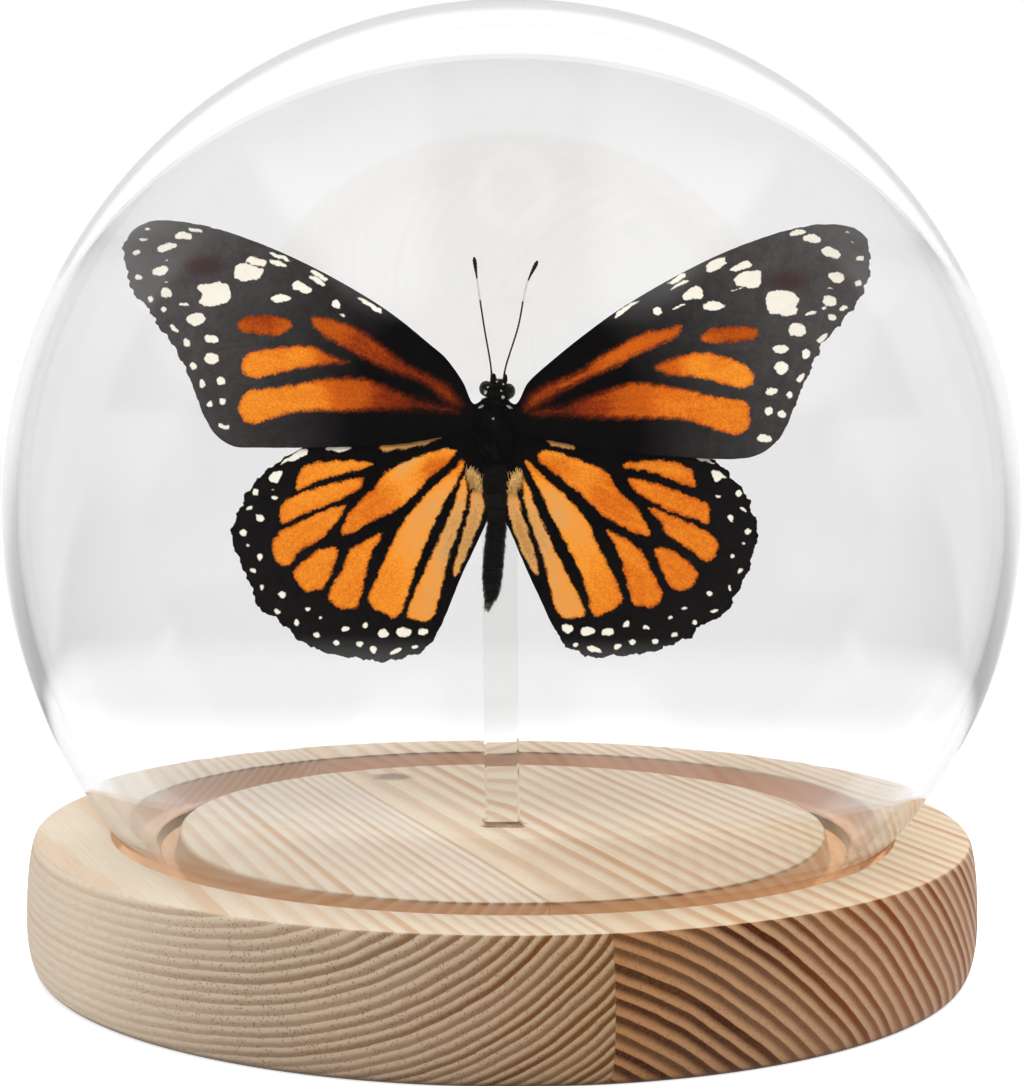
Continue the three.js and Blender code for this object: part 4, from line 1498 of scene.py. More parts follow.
HINDWING_LEFT = Markings(
    outline=(
        (-1.1, -0.9), (-2.6, 0.3), (-5, 1.1), (-9.3, 1.3), (-14.3, 0.9), (-18.6, 0.1), (-23.6, -1.9),
        (-26.1, -3.4), (-28.5, -5.3), (-30.4, -7.2), (-31.5, -9.2), (-32.3, -11.2), (-32.5, -12.5),
        (-31.7, -16.1), (-30.3, -19.5), (-28.8, -22.5), (-27.2, -23.3), (-25.8, -24.3), (-24.2, -26),
        (-21.7, -27.2), (-17.7, -28.1), (-14.2, -28.6), (-9, -27.4), (-6.8, -24.4), (-3.9, -17.5),
        (-2, -13.4), (-0.9, -10.6), (-1.1, -9), (-1.6, -7.1), (-1.5, -4.6),
    ),
    cells=(
        # streak beside the forewing
        ((-14.3, -1.8), (-11.7, -1.4), (-9.3, -0.9), (-7, -0.2), (-6.5, -0.5), (-8.6, -1.5), (-10.3, -1.9),
         (-11.7, -2.1), (-14.1, -2.3)),
        # costal
        ((-24.7, -6.9), (-24.4, -5.4), (-23.8, -4.4), (-23, -4), (-19.8, -3.6), (-16.5, -3.6), (-15.1, -4),
         (-22.3, -6.3), (-24.2, -7.2), (-24.7, -7.3)),
        # radial
        ((-26.3, -8.9), (-18.6, -6), (-17.1, -5.7), (-16.2, -5.8), (-16.5, -6.7), (-17.4, -7.5),
         (-19.8, -8.7), (-24.8, -10.8), (-26.1, -11.5), (-26.6, -11.4)),
        # upper median
        ((-27.4, -13.2), (-18.6, -9.2), (-21, -12.9), (-24.2, -15), (-25.8, -16.8), (-27.3, -16.1),
         (-27.6, -14.8)),
        # lower median
        ((-25, -17.4), (-22.5, -15.1), (-21.5, -14.6), (-20.2, -14.4), (-19.5, -14.7), (-21.5, -19.8),
         (-22.3, -19.8), (-23.5, -20), (-24.1, -19.5), (-25.1, -17.9)),
        # discal
        ((-4.8, -2.2), (-5.8, -2), (-7.1, -2.2), (-10.5, -3.4), (-13.6, -5), (-14.9, -6.8), (-18.1, -10.1),
         (-19, -12.7), (-18, -12.8), (-14.9, -11), (-12.4, -9.8), (-10.3, -8.1), (-7.8, -5.4),
         (-5.8, -3.8), (-5.1, -2.9)),
        # upper cubital
        ((-13.9, -12.6), (-17.2, -14.1), (-18.1, -14.9), (-19, -17.2), (-20.5, -19.8), (-20.7, -20.5),
         (-19.5, -22), (-17.1, -21.9), (-16.6, -20.6), (-15.5, -16), (-14.9, -14.3), (-14.2, -13.5)),
        # lower cubital
        ((-11.7, -11.8), (-9.8, -9.1), (-4.9, -4.2), (-4.1, -3.4), (-3.7, -3.6), (-4.3, -5.3),
         (-6.7, -9.7), (-9.2, -15.5), (-12, -23.1), (-12.7, -23.2), (-13.6, -22.6), (-14.5, -22.4),
         (-15.2, -21.9), (-15.7, -20.7), (-14.7, -18.2)),
        # upper anal
        ((-3.7, -5.4), (-3.4, -8), (-5, -13.6), (-5.5, -14.9), (-6.6, -19.7), (-7.7, -23.3), (-8.7, -23.6),
         (-10.7, -23.1), (-10.8, -22.5), (-5.3, -9.6), (-4.1, -5.9)),
        # lower anal
        ((-2.7, -7), (-1.8, -6.8), (-1.3, -8), (-1.2, -9.2), (-2.9, -14), (-4.3, -17.1), (-4.9, -18),
         (-5.1, -17.8), (-5, -16.5), (-3.2, -9.9)),
    ),
    patches=(
        # costal streak
        ((-23.2, -2.2), (-23.4, -2.8), (-24.2, -3.3), (-26.3, -4.1), (-26.7, -4.2), (-26.3, -3.7),
         (-23.7, -2.1)),
        # costal blob
        ((-28, -5.8), (-27.8, -5.2), (-27.1, -4.9), (-26.4, -4.9), (-26.4, -5.6), (-26.8, -6.2),
         (-27.4, -6.4), (-27.9, -6.2)),
    ),
    spots=(
        (-19.4, -2.1, 1.63, 0.4, 0), (-29.7, -7.6, 0.38, 0.5, 0), (-30.4, -9.6, 0.44, 0.28, 20),
        (-27.6, -7.3, 0.25, 0.13, 0), (-27.3, -8.2, 0.38, 0.29, 0), (-29.1, -10.8, 0.56, 0.5, 0),
        (-31.2, -12.6, 0.44, 0.5, 0), (-30.6, -14.2, 0.23, 0.19, 0), (-29.2, -15.6, 0.35, 0.48, 0),
        (-30.1, -17.4, 0.44, 0.31, -30), (-28.9, -19.5, 0.23, 0.38, 0), (-26.4, -20.4, 0.56, 0.38, -30),
        (-27, -22.5, 0.56, 0.28, -30), (-23.3, -22.2, 0.34, 0.25, -15), (-24.6, -23.9, 0.34, 0.5, 0),
        (-21.6, -23.3, 0.25, 0.28, 0), (-22.1, -25.5, 0.44, 0.34, 0), (-18.5, -24.6, 0.5, 0.38, 0),
        (-19.7, -26.4, 0.45, 0.38, 0), (-16.1, -24.2, 0.4, 0.4, 0), (-16.8, -26.5, 0.48, 0.41, 0),
        (-13.8, -25.2, 0.75, 0.56, 0), (-15, -27.2, 0.46, 0.5, 0), (-11.2, -25, 1, 0.63, 0),
        (-12.2, -27.4, 0.82, 0.34, 20), (-8.8, -24.9, 0.69, 0.5, 0), (-9.9, -26.9, 0.4, 0.29, 0),
    ),
    tones=(
        (-20, -4.5, 0.84), (-22, -8, 0.8), (-24.5, -13.5, 0.78), (-22, -17.3, 0.78), (-15, -9, 0.68),
        (-7.5, -3.8, 0.5), (-18, -19, 0.76), (-13.3, -20, 0.8), (-9, -12, 0.96), (-6, -7.5, 1),
        (-8.7, -21, 0.98), (-5, -11, 1.1), (-3.4, -12.5, 1.22), (-10, -1.5, 1.3), (-8, -1, 1.3),
    ),
)

HINDWING_RIGHT = Markings(
    outline=(
        (1, -0.9), (2.6, 0.6), (5.6, 1.3), (10.5, 1), (16.1, 0.3), (21.1, -0.6), (26.9, -3.1), (29, -4.7),
        (30.6, -6.5), (31.8, -8.3), (32.6, -10.3), (32.9, -12), (32.1, -15.6), (31.9, -17.1), (30.2, -20.3),
        (29.6, -21.8), (28.4, -22.7), (25.4, -24.6), (24.6, -25.7), (22.4, -26.4), (20.4, -27.3),
        (18.3, -27.5), (13.9, -28.1), (11.7, -27.9), (9.6, -27.1), (8.3, -25.9), (5.8, -20.8), (3.8, -16.5),
        (1.9, -12.1), (1.1, -10.6), (1.1, -9), (1.1, -7.1), (1.1, -4.6),
    ),
    cells=(
        # streak beside the forewing
        ((6.5, -0.7), (7.6, -0.9), (9.9, -1.5), (10.1, -1.9), (7.8, -1.7), (6.6, -1.2)),
        # costal
        ((15.8, -3.9), (16.5, -3.6), (18, -3.4), (19.9, -3.2), (21.5, -3.3), (24.3, -4.3), (25, -6.1),
         (24.8, -6.6), (23.7, -6.3), (18.7, -4.6), (16.4, -4.3)),
        # radial
        ((16.6, -5.5), (17.8, -5.6), (20.6, -6.3), (24.3, -7.7), (26.6, -8.7), (26.7, -9.7), (26.6, -11.3),
         (25.6, -10.8), (21.8, -9.6), (19.3, -8.3), (18.1, -7.6), (17.1, -6.7)),
        # upper median
        ((19, -9.1), (21.2, -9.7), (27.4, -12.7), (27.7, -13.2), (27.9, -14), (27.6, -15), (27.2, -15.5),
         (26.3, -15.9), (25.7, -15.6), (24.8, -14.7), (21.6, -12.6), (20.4, -10.7)),
        # lower median
        ((19.9, -14.3), (20.4, -14.2), (21.5, -14.2), (23.4, -15.2), (24.9, -16.7), (25.4, -17.3),
         (25.3, -17.9), (24.5, -19.3), (23.2, -19.5), (22.2, -19.3), (21.7, -18.6)),
        # discal
        ((5.2, -3), (5.6, -2.3), (6.6, -2.1), (10, -3.1), (13.1, -4.3), (14.1, -5), (15.6, -7.3),
         (17.6, -9), (18.7, -10.7), (19.4, -12.6), (18.8, -12.7), (17.6, -12.4), (13.8, -10.4),
         (10.4, -7.3), (7.9, -5.4)),
        # upper cubital
        ((14, -12), (18.3, -14.5), (18.9, -15.5), (21, -19.9), (21, -20.6), (20.4, -21.4), (19.5, -21.7),
         (18.5, -21.5), (17.6, -21.5), (15.9, -16.1), (15.3, -14.5)),
        # lower cubital
        ((3.8, -3.3), (5.9, -5.1), (11.8, -11.1), (12.4, -12.9), (14.6, -17), (15.9, -19.9), (16.1, -20.8),
         (15.1, -21.8), (12.6, -22.8), (11.5, -19.3), (10.2, -16.2), (6.7, -9.6), (6, -7.9), (4.4, -5)),
        # upper anal
        ((3.6, -5.6), (6.1, -11.4), (6.8, -12.7), (7.4, -14.2), (11, -21.1), (11.4, -22.1), (11.3, -22.7),
         (10.1, -23.1), (8.9, -23.1), (8.1, -22.7), (6, -15.4), (3.9, -9.3), (3.5, -6.5)),
        # lower anal
        ((1.8, -7.5), (2.3, -7.3), (2.9, -7.7), (3.2, -9), (5.2, -15.4), (5.5, -16.7), (5.5, -17.7),
         (4.9, -17.3), (2.7, -13), (1.6, -9)),
    ),
    patches=(
        # costal streak
        ((24.6, -2.8), (25.5, -2.8), (26.5, -3.2), (27.5, -3.7), (27, -3.7), (26, -3.4), (25.1, -3.1)),
        # costal blob
        ((26.9, -4.6), (27.6, -4.4), (28.2, -4.8), (28.9, -5.5), (28.3, -5.5), (27.8, -5.9), (27.3, -5.7)),
    ),
    spots=(
        (30.3, -7.3, 0.41, 0.44, 0), (30.9, -9.3, 0.5, 0.25, -30), (27.8, -7.7, 0.35, 0.2, 0),
        (29.4, -10.4, 0.43, 0.48, 0), (31.6, -12, 0.5, 0.38, 0), (31, -13.6, 0.2, 0.15, 0),
        (29.7, -15.1, 0.29, 0.35, 0), (30.7, -17, 0.4, 0.29, 45), (29.4, -19.1, 0.23, 0.45, 0),
        (26.9, -19.9, 0.35, 0.41, 0), (27.5, -22, 0.48, 0.25, 15), (23.8, -21.7, 0.35, 0.23, 0),
        (25.1, -23.5, 0.4, 0.35, 40), (22.1, -22.9, 0.29, 0.23, 0), (22.6, -25.1, 0.48, 0.28, 10),
        (19, -24.2, 0.44, 0.31, 0), (20.2, -26, 0.38, 0.4, 0), (16.6, -23.8, 0.48, 0.33, 40),
        (17.3, -26, 0.5, 0.33, 0), (14.2, -24.8, 0.75, 0.54, 0), (15.4, -26.6, 0.56, 0.41, 30),
        (11.7, -24.7, 0.94, 0.6, 0), (12.6, -27, 1.07, 0.38, -15), (9.2, -24.4, 0.73, 0.6, 0),
        (10.2, -26.5, 0.44, 0.31, -10),
    ),
    tones=(
        (20, -4, 0.78), (22, -8.2, 0.7), (24, -13, 0.74), (22.6, -17, 0.72), (14.5, -8.5, 0.66),
        (7.5, -3.6, 0.56), (18.5, -18.5, 0.72), (13.5, -20.3, 0.76), (10, -13, 0.92), (6.4, -8.2, 1),
        (9.4, -21, 1), (5.6, -11, 1.08), (3.4, -12.8, 1.25), (8, -1.2, 1.3),
    ),
)


# --- The butterfly's body ---


@dataclass(frozen=True)
class ChitinCoat:
    """The body's horny skin and hairs: black, with pale scales where the mesh says so."""

    name: str
    dark: str
    warm: str
    pale: str
    gloss: float
    facets: float = 0.0

    def make(self, effects: Effects) -> Material:
        """Makes the material.

        Args:
            effects: the node groups that the materials share.

        Returns:
            The material.
        """
        material, tree, shader = Coat(self.name).start()
        point = place(tree)
        grains = effects.scales.put(tree, Place=point)
        ground = mixed(tree, grains["Grain"].smooth(0.35, 0.95), self.dark, self.warm)
        pale = mask(tree, "pale") - 0.5
        dots = effects.edge.put(tree, Depth=pale, Grain=grains["Grain"], Fuzz=0.4, Soft=0.12)["Mask"]
        colour = mixed(tree, dots, ground, self.pale)
        rough = (1 - self.gloss) * 0.6 + grains["Grain"] * 0.25 + dots * 0.2
        Coat.paint(tree, shader, colour, rough, 0.06 + self.gloss * 0.25)
        height = grains["Grain"] * 0.4
        if self.facets:
            height = height * 0.1 + cells(tree, point, self.facets)
        Coat.bump(tree, shader, height, 0.03)
        return material


def skin_points(centre: Place, radii: Place, count: int, dice: Dice) -> tuple[Array, Array]:
    """Random places on an egg shape, with the direction straight out of it at each."""
    spoke = unit(dice.normal(0, 1, (count, 3)))
    sizes = np.array(radii)
    return np.array(centre) + spoke * sizes * 0.97, unit(spoke / sizes)


def white_tufts(piece: Stock, centre: Place, dots: Sequence[Dot], dice: Dice) -> None:
    """Adds small dense tufts of white scales.

    Args:
        piece: the piece that they grow on, whose second material is the hairs'.
        centre: the middle of what they grow on.
        dots: each tuft's place and its size.
        dice: the source of their unevenness.
    """
    for x, y, z, size in dots:
        middle = np.array([x, y, z])
        outward = unit(middle - np.array(centre))
        count = int(40 + 700 * size**2)
        spread = dice.normal(0, size * 0.42, (count, 3))
        roots = middle + spread - outward * (spread @ outward)[:, None]
        lean = np.broadcast_to(outward * 0.7 + np.array([0, -0.5, -0.3]), roots.shape)
        piece.mount(Fur(0.32, 0.09, (0, 0, -0.3), 0.18).grow(roots, lean, dice), coat=1, pale=1.0)


@dataclass(frozen=True)
class Thorax:
    """The furry thorax, flat where it is glued to the rod."""

    centre: Place = (-0.1, -4.9, -0.2)
    radii: Place = (2.4, 2.65, 3.75)
    flat_y: float = -2.22
    hairs: int = 5200
    dots: tuple[Dot, ...] = (
        (-1.72, -6.4, 3.25, 0.3), (1.72, -6.4, 3.25, 0.32), (-2.25, -5.6, 2.2, 0.13), (2.2, -5.6, 2.3, 0.13),
        (-0.2, -7.4, 1.85, 0.12),
    )

    def build(self, skin: Material, fur: Material) -> None:
        """Builds the thorax with its fur.

        Args:
            skin: the skin's material.
            fur: the hairs' material.
        """
        dice = np.random.default_rng(3)
        piece = Stock("thorax_body", Slot.BODY, [skin, fur], ("thorax",))
        points, faces = ball(self.centre, self.radii, 60, 72)
        x, z = points[:, :1], points[:, 2:3]
        lumps = 0.1 * np.sin(z * 1.7 + x * 1.3) + 0.06 * np.sin(x * 4.1 + 1)
        points = points + unit(points - self.centre) * lumps
        waist = 1 - 0.1 * np.exp(-(((points[:, 2] - 1.9) / 0.35) ** 2))
        points[:, 0] = (points[:, 0] - self.centre[0]) * waist + self.centre[0]
        points[:, 1] = np.minimum(points[:, 1], self.flat_y)
        piece.mount((points, faces), pale=0.0)
        roots, outward = skin_points(self.centre, self.radii, self.hairs, dice)
        kept = roots[:, 1] < self.flat_y - 0.5
        roots, outward = roots[kept], outward[kept]
        lean = outward * np.array([0.8, 0.55, 0.45]) + np.array([0, 0, -0.55])
        piece.mount(Fur(0.85, 0.075, (0, 0, -0.5), 0.22).grow(roots, lean, dice), coat=1)
        white_tufts(piece, self.centre, self.dots, dice)
        piece.build()


@dataclass(frozen=True)
class Head:
    """The head with its compound eyes, antenna bases, palps and coiled tongue."""

    centre: Place = (0.25, -4.9, 5.2)
    radii: Place = (1.55, 1.4, 1.3)
    eyes: tuple[Place, ...] = ((-1.12, -4.95, 5.45), (1.62, -4.95, 5.15))
    eye_radii: Place = (0.88, 1.1, 0.98)
    neck: Place = (0.05, -4.9, 3.9)
    dots: tuple[Dot, ...] = (
        (-1.15, -6.0, 5.1, 0.2), (0.95, -6.1, 4.5, 0.2), (0.2, -6.0, 6.35, 0.08), (0.95, -6.0, 6.05, 0.08),
        (0.7, -6.3, 5.3, 0.07), (-0.85, -6.1, 5.7, 0.07),
    )

    def build(self, skin: Material, fur: Material, eye: Material) -> None:
        """Builds the head.

        Args:
            skin: the skin's material.
            fur: the hairs' material.
            eye: the eyes' material.
        """
        dice = np.random.default_rng(11)
        piece = Stock("head_body", Slot.BODY, [skin, fur, eye], ("head",))
        piece.mount(ball(self.centre, self.radii, 40, 48), pale=0.0)
        piece.mount(ball(self.neck, (1.4, 1.4, 0.7), 24, 40), pale=0.0)
        for middle in self.eyes:
            piece.mount(ball(middle, self.eye_radii, 48, 60), coat=2)
        roots, outward = skin_points(self.centre, self.radii, 1300, dice)
        clear = np.ones(len(roots), bool)
        for middle in self.eyes:
            clear &= (((roots - middle) / self.eye_radii) ** 2).sum(1) > 1.1
        lean = outward[clear] + np.array([0, -0.25, 0.1])
        piece.mount(Fur(0.5, 0.06, (0, 0, -0.25), 0.25).grow(roots[clear], lean, dice), coat=1)
        collar, away = skin_points(self.neck, (1.5, 1.6, 0.55), 700, dice)
        piece.mount(Fur(0.6, 0.06, (0, -0.1, -0.4), 0.25).grow(collar, away, dice), coat=1)
        white_tufts(piece, self.centre, self.dots, dice)
        self.mouth(piece, dice)
        self.scapes(piece)
        piece.build()

    def mouth(self, piece: Stock, dice: Dice) -> None:
        """Adds the two palps and the coiled tongue below the head.

        Args:
            piece: the piece that they are added to.
            dice: the source of their unevenness.
        """
        middle = self.centre[0]
        for side in (-1, 1):
            rises = ((0.45, -4.2, 4.9), (0.5, -3.6, 5.7), (0.42, -3.5, 6.4))
            knots = [(middle + side * across, deep, up) for across, deep, up in rises]
            path = smooth_line(knots, False, 0.08)
            piece.mount(tube(path, np.linspace(0.26, 0.12, len(path)), 12))
            roots = path[dice.integers(0, len(path), 160)] + dice.normal(0, 0.1, (160, 3))
            away = dice.normal(0, 0.5, roots.shape) + np.array([0, 0.3, 0.8])
            piece.mount(Fur(0.32, 0.05, (0, 0, 0), 0.2).grow(roots, away, dice), coat=1)
        turns = np.linspace(0.0, 2.4 * 2 * math.pi, 150)
        coil = 0.78 - turns * 0.034
        deep, up = -3.35 + coil * np.sin(turns) * 0.8, 5.0 + coil * np.cos(turns) * 0.8
        path = np.stack([np.full(len(turns), middle), deep, up], 1)
        piece.mount(tube(path, np.linspace(0.11, 0.06, len(path)), 10))

    def scapes(self, piece: Stock) -> None:
        """Adds the knobs that the antennae stand in."""
        for x, z, wide, high in ((-0.22, 6.75, 0.36, 0.62), (1.22, 6.65, 0.3, 0.68)):
            piece.mount(ball((x, -5.15, z), (wide, wide, high), 20, 24))


@dataclass(frozen=True)
class Abdomen:
    """The ringed abdomen. A station is a height, a half width and how far its middle lies to the right."""

    stations: tuple[Place, ...] = (
        (-2.6, 1.1, 0.0), (-4.2, 1.5, 0.0), (-7.0, 1.62, 0.0), (-8.9, 1.45, 0.15), (-10.9, 1.22, 0.3),
        (-13.3, 1.26, 0.12), (-15.7, 1.27, -0.1), (-17.4, 1.24, -0.2), (-18.6, 1.18, -0.25),
        (-19.8, 0.95, -0.32), (-20.6, 0.7, -0.42), (-21.4, 0.38, -0.68),
    )
    middle_y: float = -4.7
    rings: tuple[float, ...] = (-5.2, -7.2, -9.2, -11.2, -13.2, -15.1, -16.9, -18.4, -19.7)
    hairs: int = 3600

    def surface(self, z: Array) -> tuple[Array, Array]:
        """The half width and the middle at each height, with the overlap of the rings.

        Args:
            z: the heights.

        Returns:
            The half widths and the middles.
        """
        line = smooth_line(self.stations, False, 0.1)
        order = np.argsort(line[:, 0])
        radius = np.interp(z, line[order, 0], line[order, 1])
        middle = np.interp(z, line[order, 0], line[order, 2])
        for ring in self.rings:
            below = ring - z
            away = np.abs(below)
            step = 0.1 * np.exp(-away / 0.12) + 0.04 * np.exp(-away / 0.3)
            radius = radius * (1 - step * (below > 0))
        return radius, middle

    def build(self, skin: Material, fur: Material) -> None:
        """Builds the abdomen with its short hairs.

        Args:
            skin: the skin's material.
            fur: the hairs' material.
        """
        dice = np.random.default_rng(5)
        sides = 56
        piece = Stock("abdomen_body", Slot.BODY, [skin, fur], ("abdomen",))
        z = np.arange(self.stations[0][0], self.stations[-1][0], -0.06)
        radius, middle = self.surface(z)
        path = np.stack([middle, np.full(len(z), self.middle_y), z], 1)
        turn = np.linspace(0, 2 * math.pi, sides, endpoint=False)
        spread = radius[:, None]
        ring = [spread * np.cos(turn), spread * np.sin(turn) * 1.04, np.zeros((len(z), sides))]
        rows = path[:, None] + np.stack(ring, 2)
        faces = [face[::-1] for face in rings_joined(len(z), sides)]
        faces.append(list(range(sides)))
        faces.append([(len(z) - 1) * sides + s for s in range(sides - 1, -1, -1)])
        piece.mount((rows.reshape(-1, 3), faces), pale=0.0)
        where = dice.uniform(self.stations[-1][0], self.stations[0][0], self.hairs)
        spin = dice.uniform(0, 2 * math.pi, self.hairs)
        radius, middle = self.surface(where)
        outward = np.stack([np.cos(spin), np.sin(spin), np.zeros(self.hairs)], 1)
        line = np.stack([middle, np.full(self.hairs, self.middle_y), where], 1)
        roots = line + outward * radius[:, None] * 0.97
        lean = outward * 0.45 + np.array([0, 0, -0.9])
        piece.mount(Fur(0.42, 0.05, (0, 0, -0.5), 0.15).grow(roots, lean, dice), coat=1)
        end = np.array([self.stations[-1][2], self.middle_y, self.stations[-1][0]])
        tips = end + dice.normal(0, 0.18, (260, 3))
        lean = np.broadcast_to(np.array([-0.2, 0, -1.0]), tips.shape)
        piece.mount(Fur(0.75, 0.06, (0, 0, -0.4), 0.28).grow(tips, lean, dice), coat=1, pale=0.42)
        piece.build(crease=60)


@dataclass(frozen=True)
class Antenna:
    """A ringed antenna with a club at its end."""

    name: str
    knots: tuple[Place, ...]
    club_length: float = 2.6
    pale_length: float = 2.7
    radius: float = 0.11
    club_radius: float = 0.25

    def build(self, skin: Material) -> None:
        """Builds the antenna.

        Args:
            skin: the skin's material.
        """
        path = smooth_line(self.knots, False, 0.05)
        run = run_along(path)
        left = run[-1] - run
        ringed = 1 + 0.13 * np.cos(run * 2 * math.pi / 0.42)
        bulge = np.clip(1 - left / self.club_length, 0, 1)
        swell = np.sin(np.clip(bulge * 1.25, 0, 1) * math.pi / 2) ** 2 * np.clip(left / 0.5, 0.0, 1) ** 0.5
        taper = np.interp(run, [0, 2, run[-1]], [0.17, self.radius, self.radius])
        radius = (taper + (self.club_radius - self.radius) * swell) * ringed
        start = self.club_length
        pale = ((left > start) & (left < start + self.pale_length)) * 1.0
        on_points = np.concatenate([np.repeat(pale, 12), [0.0, 0.0]])
        piece = Stock(f"{self.name}_horn", Slot.BODY, [skin], (self.name,))
        piece.mount(tube(path, radius, 12), pale=on_points)
        piece.build()


@dataclass(frozen=True)
class Leg:
    """A folded leg with spines on its shin and a clawed foot."""

    name: str
    knots: tuple[Place, ...]

    def build(self, skin: Material) -> None:
        """Builds the leg.

        Args:
            skin: the skin's material.
        """
        path = smooth_line(self.knots, False, 0.08)
        run = run_along(path)
        share = run / run[-1]
        radii = ((0, 0.3), (0.12, 0.27), (0.3, 0.2), (0.34, 0.17), (0.62, 0.14), (0.66, 0.1), (1, 0.08))
        radius = np.interp(share, *zip(*radii))
        foot = share > 0.66
        radius = radius * np.where(foot, 1 + 0.15 * np.cos(run * 2 * math.pi / 0.6), 1)
        piece = Stock(f"{self.name}_limb", Slot.BODY, [skin], (self.name,))
        piece.mount(tube(path, radius, 12), pale=0.0)
        dice = np.random.default_rng(len(self.name) + int(10 * abs(self.knots[0][0])))
        spots = np.nonzero((share > 0.34) & (share < 0.97))[0]
        roots = path[dice.choice(spots, 70)]
        outward = dice.normal(0, 1, roots.shape) + np.array([0, 0, -0.8])
        piece.mount(Fur(0.34, 0.035, (0, 0, -0.2), 0.1).grow(roots, outward, dice))
        ahead = unit(path[-1:] - path[-3:-2])
        claws = np.repeat(path[-1:], 2, axis=0)
        aim = ahead + np.array([[0.7, 0, 0], [-0.7, 0, 0]])
        piece.mount(Fur(0.4, 0.09, (0, 0.4, 0), 0.02).grow(claws, aim, dice))
        piece.build()


@dataclass(frozen=True)
class GoldenTufts:
    """The tan hairs at the roots of the hindwings."""

    def build(self, fur: Material) -> None:
        """Builds both tufts as one piece.

        Args:
            fur: the hairs' material.
        """
        dice = np.random.default_rng(17)
        piece = Stock("hindwing_tufts", Slot.BODY, [fur])
        for side, low, high in ((-1, (-1.9, -6.6), (-3.0, -4.5)), (1, (2.0, -6.8), (2.9, -4.9))):
            count = 420
            share = dice.random(count)[:, None]
            flat = np.array([low]) * (1 - share) + np.array([high]) * share + dice.normal(0, 0.3, (count, 2))
            roots = np.stack([flat[:, 0], np.full(count, -5.32), flat[:, 1]], 1)
            lean = np.broadcast_to(np.array([side * 0.35, -0.18, -1.0]), roots.shape)
            piece.mount(Fur(1.1, 0.06, (0, 0, -0.1), 0.12).grow(roots, lean, dice), pale=0.0)
        piece.build()


@dataclass(frozen=True)
class Butterfly:
    """The whole monarch."""

    def build(self, effects: Effects) -> None:
        """Builds every part of the butterfly.

        Args:
            effects: the node groups that the materials share.
        """
        for layer, wings in (
            (Layer.FORE, (("forewing_left", FOREWING_LEFT, 2), ("forewing_right", FOREWING_RIGHT, 5))),
            (Layer.HIND, (("hindwing_left", HINDWING_LEFT, 8), ("hindwing_right", HINDWING_RIGHT, 9))),
        ):
            root = (0.0, 2.5) if layer is Layer.FORE else (0.0, -1.0)
            title = layer.name.lower()
            upper = WingCoat(
                f"Upper face, {title} wings", root, darkest="#2a0d04", groove_burn_and_light="#7d2a08", orange="#c95f12",
                bright="#ea9029", tan="#cf9a5c", dull="#b08048", black="#040303", tip_sheen_grey="#4a4747",
                pale="#ece8da", streak=0.2,
            ).make(effects)
            under = WingCoat(
                f"Under face, {title} wings", root, darkest="#7a3d14", groove_burn_and_light="#b4642a", orange="#d98a48",
                bright="#e9ac6c", tan="#e2b988", dull="#cfa678", black="#14100d", tip_sheen_grey="#5a4a38",
                pale="#fbf7ec", streak=0.12,
            ).make(effects)
            for name, markings, seed in wings:
                Wing(name, layer, markings, seed).build(upper, under)
        skin = ChitinCoat("Black chitin", "#030303", "#0c0a08", "#efe9dc", 0.5).make(effects)
        fur = ChitinCoat("Black hairs", "#020202", "#080605", "#c9c2ae", 0.1).make(effects)
        eye = ChitinCoat("Compound eyes", "#040404", "#120e0d", "#efe9dc", 0.9, 26.0).make(effects)
        horn = ChitinCoat("Antenna rings", "#1c0f0c", "#3a201a", "#c9c2bd", 0.4).make(effects)
        gold = ChitinCoat("Golden hairs", "#e0a850", "#ffe9b8", "#efe9dc", 0.2).make(effects)
        Thorax().build(skin, fur)
        Head().build(skin, fur, eye)
        Abdomen().build(skin, fur)
        GoldenTufts().build(gold)
        for name, knots in ANTENNA_PATHS.items():
            Antenna(name, knots).build(horn)
        for name, knots in LEG_PATHS.items():
            Leg(name, knots).build(skin)


ANTENNA_PATHS = {
    "antenna_left": (
        (-0.5, -5.2, 5.9), (-0.5, -5.4, 7.7), (-1.4, -5.4, 13.0), (-2.1, -5.4, 17.4), (-2.7, -5.4, 21.6),
    ),
    "antenna_right": (
        (1.0, -5.2, 5.9), (1.2, -5.4, 7.8), (2.8, -5.4, 13.2), (3.8, -5.4, 18.3), (5.1, -5.4, 21.2),
    ),
}
LEG_PATHS = {
    "leg_mid_left": (
        (-1.6, -3.9, 0.6), (-3.5, -3.1, 2.0), (-4.1, -2.5, 0.4), (-3.4, -2.0, -3.0), (-2.4, -1.8, -5.5),
    ),
    "leg_hind_left": (
        (-1.4, -3.6, -1.5), (-3.1, -2.9, -2.8), (-3.6, -1.7, -5.2), (-2.6, -1.2, -8.2), (-2.2, -1.0, -9.6),
    ),
    "leg_mid_right": (
        (1.6, -3.9, 0.6), (3.7, -3.1, 2.0), (4.3, -2.5, 0.4), (3.8, -2.0, -3.2), (3.3, -1.7, -5.8),
    ),
    "leg_hind_right": (
        (1.4, -3.6, -1.5), (3.4, -3.0, -2.8), (4.1, -1.7, -5.0), (3.5, -1.1, -8.0), (3.2, -0.9, -9.5),
    ),
}


# --- The studio ---


